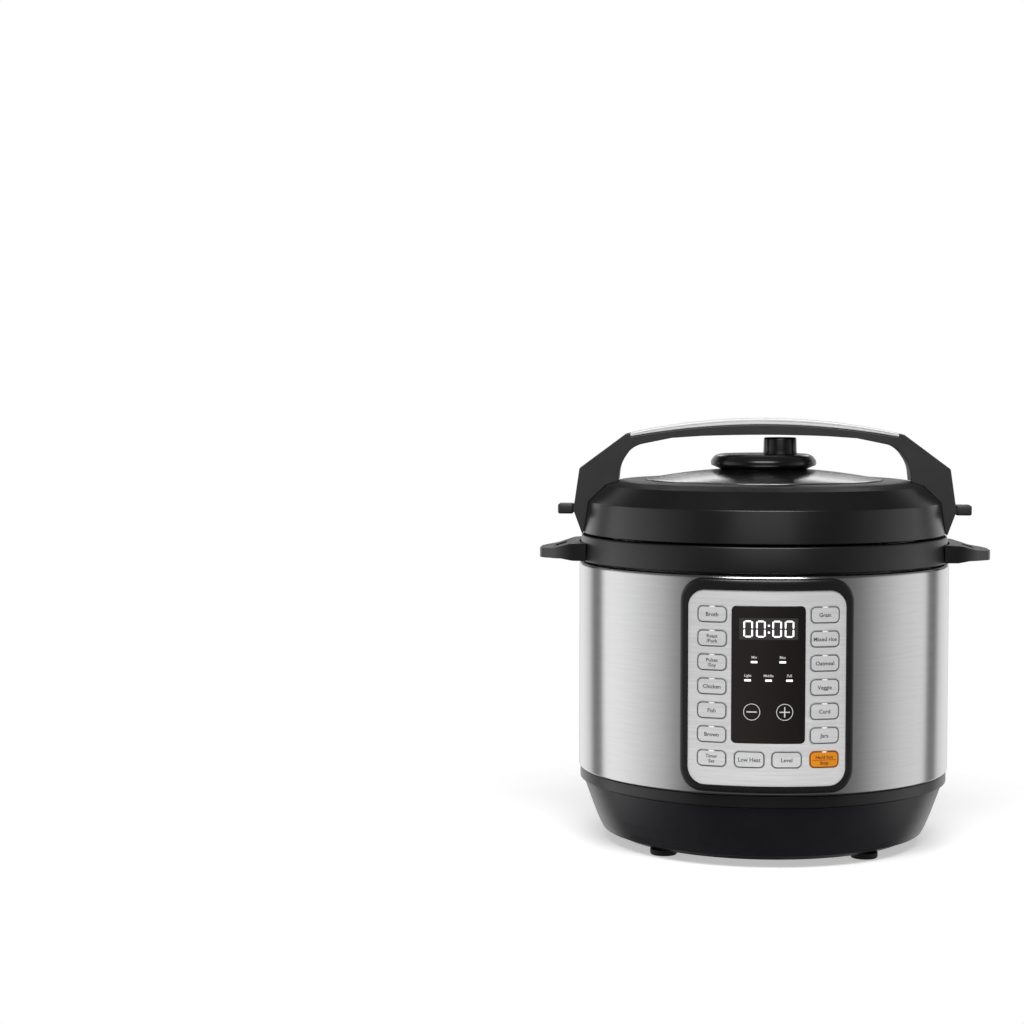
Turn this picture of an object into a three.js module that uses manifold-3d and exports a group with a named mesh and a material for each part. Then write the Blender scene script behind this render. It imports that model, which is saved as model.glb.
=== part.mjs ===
// Electric pressure cooker with its lid closed, as separate solids.
// Millimetres, +Z up. Z = 0 is the surface that it stands on, and the front faces -Y.
import * as THREE from 'three';
import { mergeVertices } from 'three/addons/utils/BufferGeometryUtils.js';
import Module from 'manifold-3d';

const wasm = await Module();
wasm.setup();

// ---- Driving dimensions ----

const GAP = 0.3;                 // left between pieces that touch
const FACETS = 48;               // around the outer turned pieces
const INNER_FACETS = 32;         // around the pots and what fits in them
const PANEL_FACETS = 64;         // around the control panel's curve
const SMALL_FACETS = 12;         // around feet, stems and knobs
const RIGHT_ANGLE = Math.PI / 2;

const BODY_R = 140;              // steel housing
const SHEET = 0.8;               // its sheet
const CUP_REACH = 162;           // furthest point behind the cooker's axis
const PANEL_REACH = 146;         // furthest point in front of it
const AXIS_Y = (PANEL_REACH - CUP_REACH) / 2;   // centres the whole object on Y = 0

const FOOT = { r: 10, height: 4.2, offset: 73.5 };
const BASE_BOTTOM = 4.5;
const BASE_TOP = 46.8;
const BAND = { low: 47.4, high: 55.7, r: 139 };
const COVER_R = 92;
const STEEL = { low: 56, high: 212.6, shoulderR: 126 };
const HOUSING_OPENING = { half: 50, low: 72, high: 196 };   // behind the control panel
const COLLAR = { low: 214, high: 232.8, lowR: 140, highR: 138.3, innerR: 128, wall: 3 };

const SIDE_HANDLE = {
  root: 120, reach: 170, rootHalf: 45, tipHalf: 26, low: 214.5, rootTop: 227.7, tipTop: 222, tipLow: 214.8,
};
const HANDLE_SLOT = { near: 150, far: 158.5, half: 11 };

const HEATER = { r: 88, low: 51.4, high: 65, hole: 13.5 };
const OUTER_POT = {
  r: 115, sheet: 1, floorR: 80, low: 50, ledge: 218.8, top: 230.8, upstandR: 127, lugR: 123.5,
};
const INNER_POT = { r: 111, sheet: 1, low: 65.3, rimR: 120, rim: 221.8 };
const LUGS = 6;
const LUG_WIDTH = 16;

const LID_PLATE = { r: 89, edge: 275, rise: 8.5, sheet: 1, hole: 34 };
const PRESSURE_LID = { r: 121, low: 227.2, high: 237.6, sheet: 1.2, lugR: 122.3 };
const SEAL = { innerR: 109, outerR: 118, low: 222.9, high: 231.5 };
const HANDLE = {
  depth: 32, topHalf: 105, topZ: 309.1, stepZ: 310, arm: 110, openingHalf: 55, openingZ: 308.9,
};
const GRIP = { half: 101, top: 321.3, endTop: 310.3, foot: 316.7, endFoot: 307.4 };
const FIN = { near: 144.5, far: 156.4, low: 248.1, high: 255.7, depth: 18 };

const DIAL = { r: 40, low: 282.4, high: 294 };
const KNOB = { r: 12.5, x: 12.5, high: 306.6 };
const PIPE = { r: 5, bore: 2, low: 231, high: 288 };
const FLOAT_VALVE = { y: 58, stemR: 2.5, low: 228, head: 275.2, high: 279 };
const SENSOR = { r: 12.5, low: 55.6, high: 65, stemR: 5, stemLow: 44.5 };
const SPRING = { r: 8, wire: 0.8, turns: 4 };
const BRACKET = { half: 70, width: 18, sheet: 1.5, top: 40 };
const SWITCH = { half: 10, near: 42, far: 52, low: 20, high: 34, pinR: 2, pinTop: 38 };
const POWER_BOARD = { left: -95, right: -35, half: 40, low: 14, high: 15.6 };
const RELAY = { left: -85, right: -65, front: -20, back: 0, high: 30 };
const CAPACITOR = { r: 7, x: -50, y: 18, high: 32 };
const SHIELD = { r: 14, low: 224.4, high: 236, sheet: 1.2, slotLow: 228, slotHigh: 233 };

const CONTROL_BOARD = { half: 42, front: -130, back: -128.4, low: 80, high: 196 };
const BEZEL = { r: PANEL_REACH, half: 62, low: 58.7, high: 210.9, corner: 16 };
const FASCIA = { r: 145, sheet: 1.5, half: 55.7, low: 63.8, high: 202.7, corner: 12.5 };
const WINDOW = { x: 0.9, half: 25.9, low: 94.4, high: 191.6, corner: 3.2 };
const KEY = { width: 21.6, height: 12, corner: 3.6, face: 145.3, depth: 3.8 };
const KEY_COLUMN = 39.8;         // the two outer columns, either side of the window's centre
const KEY_MIDDLE = 13.2;         // the two keys under the window
const KEY_ROWS = 7;
const KEY_PITCH = 17.1;
const KEY_LOWEST = 82.9;
const ROUND_KEY = { r: 6.15, x: 11.6, z: 116.8 };
const KEY_PLAY = 0.35;           // around each key in the fascia

const CUP = { near: 141.2, half: 23, low: 168, high: 208, wall: 1.6, corner: 6 };
const INLET = { near: 104, far: 128.5, half: 14, low: 13, high: 33, wall: 2 };

const BLACK_PLASTIC = { color: 0x222226, roughness: 0.45, metalness: 0 };
const GLOSS_BLACK = { color: 0x141416, roughness: 0.2, metalness: 0 };
const BRUSHED_STEEL = { color: 0xc4c4c6, roughness: 0.35, metalness: 1 };
const POLISHED_STEEL = { color: 0xd0d0d2, roughness: 0.12, metalness: 1 };
const SILVER_PAINT = { color: 0xbcbcbe, roughness: 0.4, metalness: 0.5 };
const GREY_PLASTIC = { color: 0x45454a, roughness: 0.5, metalness: 0 };
const ORANGE = { color: 0xe88a1c, roughness: 0.4, metalness: 0 };
const SMOKED = { color: 0x2a2223, roughness: 0.08, metalness: 0 };
const CLEAR_PLASTIC = { color: 0xd8dee0, roughness: 0.1, metalness: 0 };
const ALUMINIUM = { color: 0xa8a9ab, roughness: 0.5, metalness: 1 };
const SILICONE = { color: 0xd9d6cf, roughness: 0.7, metalness: 0 };
const RUBBER = { color: 0x1a1a1a, roughness: 0.85, metalness: 0 };
const BOARD = { color: 0x1d5a38, roughness: 0.6, metalness: 0 };

// ---- Shared helpers ----

// A closed solid for cutting and joining, from any closed geometry.
function toSolid(geometry) {
  const bare = new THREE.BufferGeometry();
  bare.setAttribute('position', geometry.getAttribute('position').clone());
  if (geometry.index) bare.setIndex(geometry.index.clone());
  const merged = mergeVertices(bare, 1e-4);
  const corners = merged.index.array;
  const kept = [];
  for (let i = 0; i < corners.length; i += 3) {
    const [a, b, c] = [corners[i], corners[i + 1], corners[i + 2]];
    if (a !== b && b !== c && c !== a) kept.push(a, b, c);
  }
  const vertProperties = new Float32Array(merged.getAttribute('position').array);
  return new wasm.Manifold(new wasm.Mesh({ numProp: 3, vertProperties, triVerts: new Uint32Array(kept) }));
}

function toGeometry(solid) {
  const mesh = solid.getMesh();
  const geometry = new THREE.BufferGeometry();
  geometry.setAttribute('position', new THREE.BufferAttribute(new Float32Array(mesh.vertProperties), 3));
  geometry.setIndex(new THREE.BufferAttribute(new Uint32Array(mesh.triVerts), 1));
  const flat = geometry.toNonIndexed();
  flat.computeVertexNormals();
  return flat;
}

function cut(geometry, ...tools) {
  return toGeometry(tools.reduce((solid, tool) => solid.subtract(toSolid(tool)), toSolid(geometry)));
}

function join(geometry, ...others) {
  return toGeometry(others.reduce((solid, other) => solid.add(toSolid(other)), toSolid(geometry)));
}

function overlap(geometry, other) {
  return toGeometry(toSolid(geometry).intersect(toSolid(other)));
}

// A solid of revolution about Z from [radius, height] corners. The outline starts and
// ends on the axis, or is closed here when it doesn't touch the axis.
function turned(outline, facets = FACETS) {
  const points = outline.map(([r, z]) => new THREE.Vector2(r, z));
  const onAxis = outline[0][0] === 0 && outline.at(-1)[0] === 0;
  if (!onAxis) points.push(points[0].clone());
  return new THREE.LatheGeometry(points, facets).rotateX(RIGHT_ANGLE);
}

function disc(r, low, high, facets = SMALL_FACETS) {
  return turned([[0, low], [r, low], [r, high], [0, high]], facets);
}

function tube(innerR, outerR, low, high, facets = FACETS) {
  return turned([[innerR, low], [outerR, low], [outerR, high], [innerR, high]], facets);
}

function box(x0, x1, y0, y1, z0, z1) {
  const block = new THREE.BoxGeometry(x1 - x0, y1 - y0, z1 - z0);
  return block.translate((x0 + x1) / 2, (y0 + y1) / 2, (z0 + z1) / 2);
}

function roundedRect(halfWidth, halfHeight, corner) {
  const shape = new THREE.Shape();
  shape.absarc(halfWidth - corner, halfHeight - corner, corner, 0, RIGHT_ANGLE);
  shape.absarc(corner - halfWidth, halfHeight - corner, corner, RIGHT_ANGLE, 2 * RIGHT_ANGLE);
  shape.absarc(corner - halfWidth, corner - halfHeight, corner, 2 * RIGHT_ANGLE, 3 * RIGHT_ANGLE);
  shape.absarc(halfWidth - corner, corner - halfHeight, corner, 3 * RIGHT_ANGLE, 4 * RIGHT_ANGLE);
  return shape;
}

function extruded(shape, depth, curveSegments = 4) {
  return new THREE.ExtrudeGeometry(shape, { depth, bevelEnabled: false, curveSegments });
}

function polygon(corners) {
  return new THREE.Shape(corners.map(([x, y]) => new THREE.Vector2(x, y)));
}

// Stands a shape drawn in X and Z up, from y = front to y = front + depth.
function standing(shape, front, depth, curveSegments) {
  return extruded(shape, depth, curveSegments).rotateX(RIGHT_ANGLE).translate(0, front + depth, 0);
}

// Points on a shallow arch, from x = -half to x = half.
function arch(half, top, drop, steps) {
  const points = [];
  for (let i = 0; i <= steps; i += 1) {
    const x = half * (2 * i / steps - 1);
    points.push([x, top - drop * (x / half) ** 2]);
  }
  return points;
}

function mirrored(corners) {
  return corners.map(([x, y]) => [-x, y]).reverse();
}

function piece(name, geometry, finish) {
  const mesh = new THREE.Mesh(geometry, new THREE.MeshStandardMaterial(finish));
  mesh.name = name;
  return mesh;
}

// ---- Base and housing ----

function foot(sideX, sideY) {
  const { r, height, offset } = FOOT;
  const shape = turned([[0, 0], [r - 1, 0], [r, 1], [r, height], [0, height]], SMALL_FACETS);
  return shape.translate(sideX * offset, sideY * offset, 0);
}

// A shallow bowl with an open floor, closed by the bottom cover, and a port for the inlet.
function baseShell() {
  const outline = [
    [COVER_R + GAP, BASE_BOTTOM], [112, BASE_BOTTOM], [119, 8], [121.5, 9], [128.2, 24],
    [136.5, BASE_TOP], [133.5, BASE_TOP], [125.4, 24], [120, 12], [112, 7.5], [COVER_R + GAP, 7.5],
  ];
  const { half, low, high } = INLET;
  const port = box(-half - GAP, half + GAP, 100, 150, low - GAP, high + GAP);
  return cut(turned(outline), port);
}

function bottomCover() {
  const slots = [];
  for (let i = 0; i < 8; i += 1) {
    slots.push(box(45, 78, -1.5, 1.5, 0, 12).rotateZ((i + 0.5) * Math.PI / 4));
  }
  return cut(disc(COVER_R, BASE_BOTTOM + 0.5, BASE_BOTTOM + 2, FACETS), ...slots);
}

function steelHousing() {
  const { low, high, shoulderR } = STEEL;
  const inner = BODY_R - SHEET;
  const shell = turned([
    [inner, low], [BODY_R, low], [BODY_R, high], [shoulderR, high], [shoulderR, high - SHEET],
    [inner, high - SHEET],
  ]);
  const { half, low: sill, high: head } = HOUSING_OPENING;
  return cut(shell, box(-half, half, -BODY_R - 10, 0, sill, head));
}

function upperCollar() {
  const { low, high, lowR, highR, innerR, wall } = COLLAR;
  return turned([
    [lowR - wall, low], [lowR, low], [highR, high], [innerR, high], [innerR, high - wall],
    [highR - wall, high - wall],
  ]);
}

// Plan and side outline meet: a tapered grip with a rounded tip and a slot for the lid's fin.
function sideHandle(side) {
  const { root, reach, rootHalf, tipHalf, low, rootTop, tipTop, tipLow } = SIDE_HANDLE;
  const plan = new THREE.Shape();
  plan.moveTo(root - 20, -rootHalf);
  plan.lineTo(BODY_R - 10, -rootHalf);
  plan.bezierCurveTo(reach - 10, -rootHalf + 4, reach, -tipHalf, reach, 0);
  plan.bezierCurveTo(reach, tipHalf, reach - 10, rootHalf - 4, BODY_R - 10, rootHalf);
  plan.lineTo(root - 20, rootHalf);
  const blank = extruded(plan, 30, 8).translate(0, 0, low - 5);
  const profile = polygon([
    [root, low], [BODY_R + 6, low], [BODY_R + 14, tipLow], [reach + 5, tipLow], [reach + 5, tipTop],
    [root, rootTop + (rootTop - tipTop) * 0.7],
  ]);
  const grip = overlap(blank, standing(profile, -rootHalf - 5, 2 * rootHalf + 10));
  const { near, far, half } = HANDLE_SLOT;
  const body = disc(BODY_R + GAP, low - 10, COLLAR.high + 10, FACETS);
  const handle = cut(grip, body, box(near, far, -half, half, low - 10, rootTop + 10));
  return side > 0 ? handle : handle.rotateZ(Math.PI);
}

// ---- Inside the housing ----

function controlBoard() {
  const { half, front, back, low, high } = CONTROL_BOARD;
  return box(-half, half, front, back, low, high);
}

function powerBoard() {
  const { left, right, half, low, high } = POWER_BOARD;
  const board = box(left, right, -half, half, low, high);
  const relay = box(RELAY.left, RELAY.right, RELAY.front, RELAY.back, high - 0.6, RELAY.high);
  const capacitor = disc(CAPACITOR.r, high - 0.6, CAPACITOR.high).translate(CAPACITOR.x, CAPACITOR.y, 0);
  return join(board, relay, capacitor);
}

function heatingPlate() {
  const { r, low, high, hole } = HEATER;
  return turned([
    [hole, low + 7], [60, low + 7], [62, low], [r - 6, low], [r, low + 5], [r, high], [hole, high],
  ], INNER_FACETS);
}

function sensorBracket() {
  const { half, width, sheet, top } = BRACKET;
  const low = top - sheet;
  const strip = box(-half, half, -width / 2, width / 2, low, top);
  const legs = [-half, half].map((x) => (
    box(x - sheet, x + sheet, -width / 2, width / 2, low, OUTER_POT.low - 4)
  ));
  return join(strip, ...legs);
}

// The helix that the spring's wire follows, round the sensor's stem.
class Helix extends THREE.Curve {
  constructor(radius, low, high, turns) {
    super();
    Object.assign(this, { radius, low, high, turns });
  }

  getPoint(t, target = new THREE.Vector3()) {
    const angle = 2 * Math.PI * this.turns * t;
    const z = this.low + (this.high - this.low) * t;
    return target.set(this.radius * Math.cos(angle), this.radius * Math.sin(angle), z);
  }
}

function sensorSpring() {
  const { r, wire, turns } = SPRING;
  const section = new THREE.Shape().absarc(0, 0, wire, 0, 2 * Math.PI);
  const path = new Helix(r, BRACKET.top + wire + GAP, SENSOR.low - wire - GAP, turns);
  return new THREE.ExtrudeGeometry(section, { steps: 40, curveSegments: 3, extrudePath: path });
}

function temperatureSensor() {
  const { r, low, high, stemR, stemLow } = SENSOR;
  return turned([[0, stemLow], [stemR, stemLow], [stemR, low], [r, low], [r, high], [0, high]], SMALL_FACETS);
}

function pressureSwitch() {
  const { half, near, far, low, high, pinR, pinTop } = SWITCH;
  const body = box(-half, half, near, far, low, high);
  return join(body, disc(pinR, high - 1, pinTop).translate(0, (near + far) / 2, 0));
}

// Tabs around a ring, which lock the lid under the outer pot's rim.
function lugs(inner, outer, low, high, turn) {
  const tabs = [];
  for (let i = 0; i < LUGS; i += 1) {
    const tab = box(inner, outer, -LUG_WIDTH / 2, LUG_WIDTH / 2, low, high);
    tabs.push(tab.rotateZ(2 * Math.PI * i / LUGS + turn));
  }
  return tabs;
}

function outerPot() {
  const { r, sheet, floorR, low, ledge, top, upstandR, lugR } = OUTER_POT;
  const shell = turned([
    [floorR, low], [r - 4, low], [r, low + 4], [r, ledge], [upstandR, ledge], [upstandR, top],
    [upstandR - sheet, top], [upstandR - sheet, ledge + sheet], [r - sheet, ledge + sheet],
    [r - sheet, low + 4.5], [r - 4.5, low + sheet], [floorR, low + sheet],
  ], INNER_FACETS);
  return join(shell, ...lugs(lugR, upstandR - sheet / 2, top - 1.2, top, Math.PI / LUGS));
}

function innerPot() {
  const { r, sheet, low, rimR, rim } = INNER_POT;
  return turned([
    [0, low], [r - 9, low], [r - 2.6, low + 2.6], [r, low + 9], [r, rim - 1.4], [rimR, rim - 1.4],
    [rimR, rim], [r - sheet, rim], [r - sheet, low + 9.4], [r - 3.3, low + 3.3], [r - 9.4, low + sheet],
    [0, low + sheet],
  ], INNER_FACETS);
}

function powerInlet() {
  const { near, far, half, low, high, wall } = INLET;
  const block = box(-half, half, near, far, low, high);
  const socket = box(wall - half, half - wall, near + 4, far + 1, low + wall, high - wall);
  const middle = (low + high) / 2;
  const pins = [[-6, -2], [0, 2.5], [6, -2]].map(([x, z]) => (
    box(x - 1, x + 1, near + 3, far - 5, middle + z - 2, middle + z + 2)
  ));
  return join(cut(block, socket), ...pins);
}

// ---- Control panel ----

// A slab of the panel's curve with a rounded rectangular outline, x0 being its centre.
function panelSlab(innerR, outerR, x0, half, low, high, corner) {
  const ring = tube(innerR, outerR, low - 5, high + 5, PANEL_FACETS);
  return overlap(ring, panelPrism(x0, half, low, high, corner));
}

function panelPrism(x0, half, low, high, corner) {
  const outline = roundedRect(half, (high - low) / 2, corner);
  return standing(outline, -200, 120, 4).translate(x0, 0, (low + high) / 2);
}

function panelBezel() {
  const { r, half, low, high, corner } = BEZEL;
  const slab = panelSlab(BODY_R + GAP, r, 0, half, low, high, corner);
  const opening = panelPrism(0, FASCIA.half + GAP, FASCIA.low - GAP, FASCIA.high + GAP, FASCIA.corner + GAP);
  return cut(slab, opening);
}

// Places of the eighteen keys: name, chord position, height and outline.
function keyPlaces() {
  const { width, height, corner } = KEY;
  const { r } = ROUND_KEY;
  const oblong = { halfWidth: width / 2, halfHeight: height / 2, corner, segments: 1 };
  const round = { halfWidth: r, halfHeight: r, corner: r - 0.01, segments: 2, isRound: true };
  const places = [];
  for (let row = 0; row < KEY_ROWS; row += 1) {
    const z = KEY_LOWEST + (KEY_ROWS - 1 - row) * KEY_PITCH;
    places.push({ name: `key_left_${row + 1}`, x: -KEY_COLUMN, z, ...oblong });
    places.push({ name: `key_right_${row + 1}`, x: KEY_COLUMN, z, ...oblong });
  }
  places.push({ name: 'key_middle_left', x: -KEY_MIDDLE, z: KEY_LOWEST, ...oblong });
  places.push({ name: 'key_middle_right', x: KEY_MIDDLE, z: KEY_LOWEST, ...oblong });
  places.push({ name: 'key_minus', x: -ROUND_KEY.x, z: ROUND_KEY.z, ...round });
  places.push({ name: 'key_plus', x: ROUND_KEY.x, z: ROUND_KEY.z, ...round });
  return places.map((place) => ({ ...place, x: place.x + WINDOW.x }));
}

// A key as a flat block that faces outward, or the hole that it moves in when grown.
function keyBlock(place, grown = 0, extraDepth = 0) {
  const outline = roundedRect(place.halfWidth + grown, place.halfHeight + grown, place.corner + grown);
  const depth = KEY.depth + 2 * extraDepth;
  const block = extruded(outline, depth, place.segments).rotateX(RIGHT_ANGLE);
  const back = KEY.face - KEY.depth - extraDepth;
  return block.translate(0, -back, place.z).rotateZ(Math.asin(place.x / KEY.face));
}

function controlFascia(places) {
  const { r, sheet, half, low, high, corner } = FASCIA;
  const slab = panelSlab(r - sheet, r, 0, half, low, high, corner);
  const { x, half: windowHalf, low: sill, high: head, corner: windowCorner } = WINDOW;
  const window = panelPrism(x, windowHalf + GAP, sill - GAP, head + GAP, windowCorner + GAP);
  const holes = places.filter((place) => !place.isRound).map((place) => keyBlock(place, KEY_PLAY, 4));
  return cut(slab, window, ...holes);
}

function displayWindow(places) {
  const { x, half, low, high, corner } = WINDOW;
  const slab = panelSlab(FASCIA.r - FASCIA.sheet, FASCIA.r - GAP, x, half, low, high, corner);
  const holes = places.filter((place) => place.isRound).map((place) => keyBlock(place, KEY_PLAY, 4));
  return cut(slab, ...holes);
}

// ---- Condensation cup ----

function collectorBracket() {
  const { half, high } = CUP;
  const plate = box(-half - 4, half + 4, BODY_R + GAP, CUP_REACH - 1, high + 0.6, high + 3.6);
  return cut(plate, box(-half + 6, half - 6, BODY_R + 6, CUP_REACH - 7, high - 1, high + 5));
}

function condensationCup() {
  const { near, half, low, high, wall, corner } = CUP;
  const middle = (near + CUP_REACH) / 2;
  const halfDepth = (CUP_REACH - near) / 2;
  const outside = extruded(roundedRect(half, halfDepth, corner), high - low);
  const inside = extruded(roundedRect(half - wall, halfDepth - wall, corner - wall), high);
  return cut(outside.translate(0, middle, low), inside.translate(0, middle, low + wall));
}

// ---- Lid ----

// The lid's outer silhouette, from its lower edge up to the recess for the top plate.
const LID_SIDE = [[137, 234.3], [133.4, 258], [120.4, 270.6], [110, 273.9], [98, 274.8]];

function lidCover() {
  const shell = turned([
    [0, 269.4], [117.5, 267], [130.4, 256.5], [134, 234.3], ...LID_SIDE, [LID_PLATE.r + 0.6, 272.2],
    [0, 272.2],
  ]);
  return cut(shell, disc(PIPE.r + 1, 260, 280), disc(5, 260, 280).translate(0, FLOAT_VALVE.y, 0));
}

function platePoint(r) {
  return LID_PLATE.edge + LID_PLATE.rise * (1 - (r / LID_PLATE.r) ** 2);
}

function lidTopPlate() {
  const { r, sheet, hole } = LID_PLATE;
  const steps = 3;
  const top = [];
  for (let i = 0; i <= steps; i += 1) {
    const radius = r + (hole - r) * i / steps;
    top.push([radius, platePoint(radius)]);
  }
  const underside = top.map(([radius, z]) => [radius, z - sheet]).reverse();
  return cut(turned([...underside, ...top]), disc(6, 260, 300).translate(0, FLOAT_VALVE.y, 0));
}

// Front outline of the arched handle, whose arms come down outside the lid's chamfer.
function lidHandle() {
  const { depth, topHalf, topZ, stepZ, arm, openingHalf, openingZ } = HANDLE;
  const stepX = GRIP.half + GAP;
  const side = [
    [stepX, stepZ], [topHalf, topZ], [139.6, 283.3], [144.2, 251.5], [137.6, 233.6], [arm, 233.6], [arm, 275],
  ];
  const inner = [[108.7, 286.4], [105.9, 293.8], [99.4, 300.3], [88.2, 304], [69.6, 306.4]];
  const top = arch(stepX, GRIP.foot - GAP, GRIP.foot - GRIP.endFoot, 16);
  const below = [...inner, ...arch(openingHalf, openingZ, 1.4, 4).reverse(), ...mirrored(inner)];
  const outline = [...top, ...side, ...below, ...mirrored(side)];
  const blank = standing(polygon(outline), -depth / 2, depth);
  const room = LID_SIDE.map(([r, z]) => [r + GAP, z + GAP]);
  return cut(blank, turned([[0, 225], [room[0][0] + 0.4, 225], ...room, [0, room.at(-1)[1]]]));
}

function handleGripCover() {
  const { half, top, endTop, foot: middleFoot, endFoot } = GRIP;
  const upper = arch(half, top, top - endTop, 20);
  const underside = arch(half, middleFoot, middleFoot - endFoot, 16).reverse();
  return standing(polygon([...upper, ...underside]), -HANDLE.depth / 2, HANDLE.depth);
}

function lidFin(side) {
  const { near, far, low, high, depth } = FIN;
  const half = depth / 2;
  const plan = polygon([
    [near, -half], [far - 3, -half], [far, 3 - half], [far, half - 3], [far - 3, half], [near, half],
  ]);
  const fin = extruded(plan, high - low).translate(0, 0, low);
  return side > 0 ? fin : fin.rotateZ(Math.PI);
}

function pressureLid() {
  const { r, low, high, sheet, lugR } = PRESSURE_LID;
  const shell = turned([
    [0, high - sheet], [r - 9, high - sheet], [r - sheet, high - 5], [r - sheet, low], [r, low],
    [r, high - 4.4], [r - 8.5, high], [0, high],
  ], INNER_FACETS);
  const tabs = lugs(r - sheet / 2, lugR, low, low + 2, 0);
  const pipeHole = disc(PIPE.r + GAP, low, high + 10);
  const floatHole = disc(FLOAT_VALVE.stemR + 0.5, low, high + 10).translate(0, FLOAT_VALVE.y, 0);
  return cut(join(shell, ...tabs), pipeHole, floatHole);
}

function sealingRing() {
  const { innerR, outerR, low, high } = SEAL;
  return turned([
    [innerR, low], [outerR - 1, low], [outerR, low + 2], [outerR, high], [outerR - 1.6, high],
    [outerR - 2, low + 3], [innerR + 2, low + 3], [innerR + 1.6, high], [innerR, high],
  ], INNER_FACETS);
}

function ringRack() {
  const { innerR, outerR, high } = SEAL;
  return new THREE.TorusGeometry((innerR + outerR) / 2, 1.2, 6, INNER_FACETS).translate(0, 0, high - 2);
}

// A perforated cap that keeps food out of the steam pipe.
function antiBlockShield() {
  const { r, low, high, sheet, slotLow, slotHigh } = SHIELD;
  const inner = r - sheet;
  const cap = turned([
    [0, low], [r, low], [r, high], [inner, high], [inner, low + sheet], [0, low + sheet],
  ], SMALL_FACETS);
  const slots = [0, 1, 2, 3].map((i) => (
    box(-r - 5, r + 5, -sheet, sheet, slotLow, slotHigh).rotateZ(i * Math.PI / 4)
  ));
  return cut(cap, ...slots);
}

function steamPipe() {
  const { r, bore, low, high } = PIPE;
  return tube(bore, r, low, high, SMALL_FACETS);
}

function steamDial() {
  const { r, low, high } = DIAL;
  return turned([
    [0, PIPE.high + 2], [PIPE.r + 1.5, PIPE.high + 2], [PIPE.r + 1.5, low], [r - 8, low], [r, low + 3.6],
    [r, high - 5.5], [r - 1.4, high - 2], [r - 4.5, high], [0, high],
  ], INNER_FACETS);
}

function steamKnob() {
  const { r, x, high } = KNOB;
  const low = DIAL.high + GAP;
  return turned([
    [0, low], [r + 0.6, low], [r, low + 2], [r, high - 1.5], [r - 1.5, high], [0, high],
  ], 20).translate(x, 0, 0);
}

function floatValve() {
  const { y, stemR, low, head, high } = FLOAT_VALVE;
  return turned([
    [0, low], [stemR, low], [stemR, head], [4.5, head], [4.5, high], [0, high],
  ], SMALL_FACETS).translate(0, y, 0);
}

function floatSeal() {
  return tube(FLOAT_VALVE.stemR + 0.2, 6, 227.9, 230, SMALL_FACETS).translate(0, FLOAT_VALVE.y, 0);
}

// ---- Assembly ----

function buildHousing() {
  const group = new THREE.Group();
  group.add(piece('foot_front_left', foot(-1, -1), RUBBER));
  group.add(piece('foot_front_right', foot(1, -1), RUBBER));
  group.add(piece('foot_rear_left', foot(-1, 1), RUBBER));
  group.add(piece('foot_rear_right', foot(1, 1), RUBBER));
  group.add(piece('base_shell', baseShell(), BLACK_PLASTIC));
  group.add(piece('bottom_cover', bottomCover(), ALUMINIUM));
  group.add(piece('base_band', tube(BAND.r - 4, BAND.r, BAND.low, BAND.high), GLOSS_BLACK));
  group.add(piece('steel_housing', steelHousing(), BRUSHED_STEEL));
  group.add(piece('upper_collar', upperCollar(), BLACK_PLASTIC));
  group.add(piece('side_handle_left', sideHandle(-1), BLACK_PLASTIC));
  group.add(piece('side_handle_right', sideHandle(1), BLACK_PLASTIC));
  group.add(piece('outer_pot', outerPot(), ALUMINIUM));
  group.add(piece('inner_pot', innerPot(), BRUSHED_STEEL));
  group.add(piece('heating_plate', heatingPlate(), ALUMINIUM));
  group.add(piece('sensor_bracket', sensorBracket(), BRUSHED_STEEL));
  group.add(piece('sensor_spring', sensorSpring(), BRUSHED_STEEL));
  group.add(piece('temperature_sensor', temperatureSensor(), ALUMINIUM));
  group.add(piece('pressure_switch', pressureSwitch(), BLACK_PLASTIC));
  group.add(piece('power_board', powerBoard(), BOARD));
  group.add(piece('power_inlet', powerInlet(), BLACK_PLASTIC));
  group.add(piece('collector_bracket', collectorBracket(), BLACK_PLASTIC));
  group.add(piece('condensation_cup', condensationCup(), CLEAR_PLASTIC));
  return group;
}

function buildPanel() {
  const group = new THREE.Group();
  const places = keyPlaces();
  group.add(piece('panel_bezel', panelBezel(), GLOSS_BLACK));
  group.add(piece('control_fascia', controlFascia(places), SILVER_PAINT));
  group.add(piece('display_window', displayWindow(places), SMOKED));
  group.add(piece('control_board', controlBoard(), BOARD));
  for (const place of places) {
    const finish = { key_right_7: ORANGE, key_minus: SMOKED, key_plus: SMOKED }[place.name] ?? SILVER_PAINT;
    group.add(piece(place.name, keyBlock(place), finish));
  }
  return group;
}

function buildLid() {
  const group = new THREE.Group();
  group.add(piece('lid_cover', lidCover(), BLACK_PLASTIC));
  group.add(piece('lid_top_plate', lidTopPlate(), POLISHED_STEEL));
  group.add(piece('lid_handle', lidHandle(), GREY_PLASTIC));
  group.add(piece('handle_grip_cover', handleGripCover(), SILVER_PAINT));
  group.add(piece('lid_fin_left', lidFin(-1), GREY_PLASTIC));
  group.add(piece('lid_fin_right', lidFin(1), GREY_PLASTIC));
  group.add(piece('pressure_lid', pressureLid(), BRUSHED_STEEL));
  group.add(piece('sealing_ring', sealingRing(), SILICONE));
  group.add(piece('ring_rack', ringRack(), BRUSHED_STEEL));
  group.add(piece('anti_block_shield', antiBlockShield(), BRUSHED_STEEL));
  group.add(piece('steam_pipe', steamPipe(), BRUSHED_STEEL));
  group.add(piece('steam_dial', steamDial(), BLACK_PLASTIC));
  group.add(piece('steam_knob', steamKnob(), BLACK_PLASTIC));
  group.add(piece('float_valve', floatValve(), BRUSHED_STEEL));
  group.add(piece('float_seal', floatSeal(), SILICONE));
  return group;
}

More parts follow.
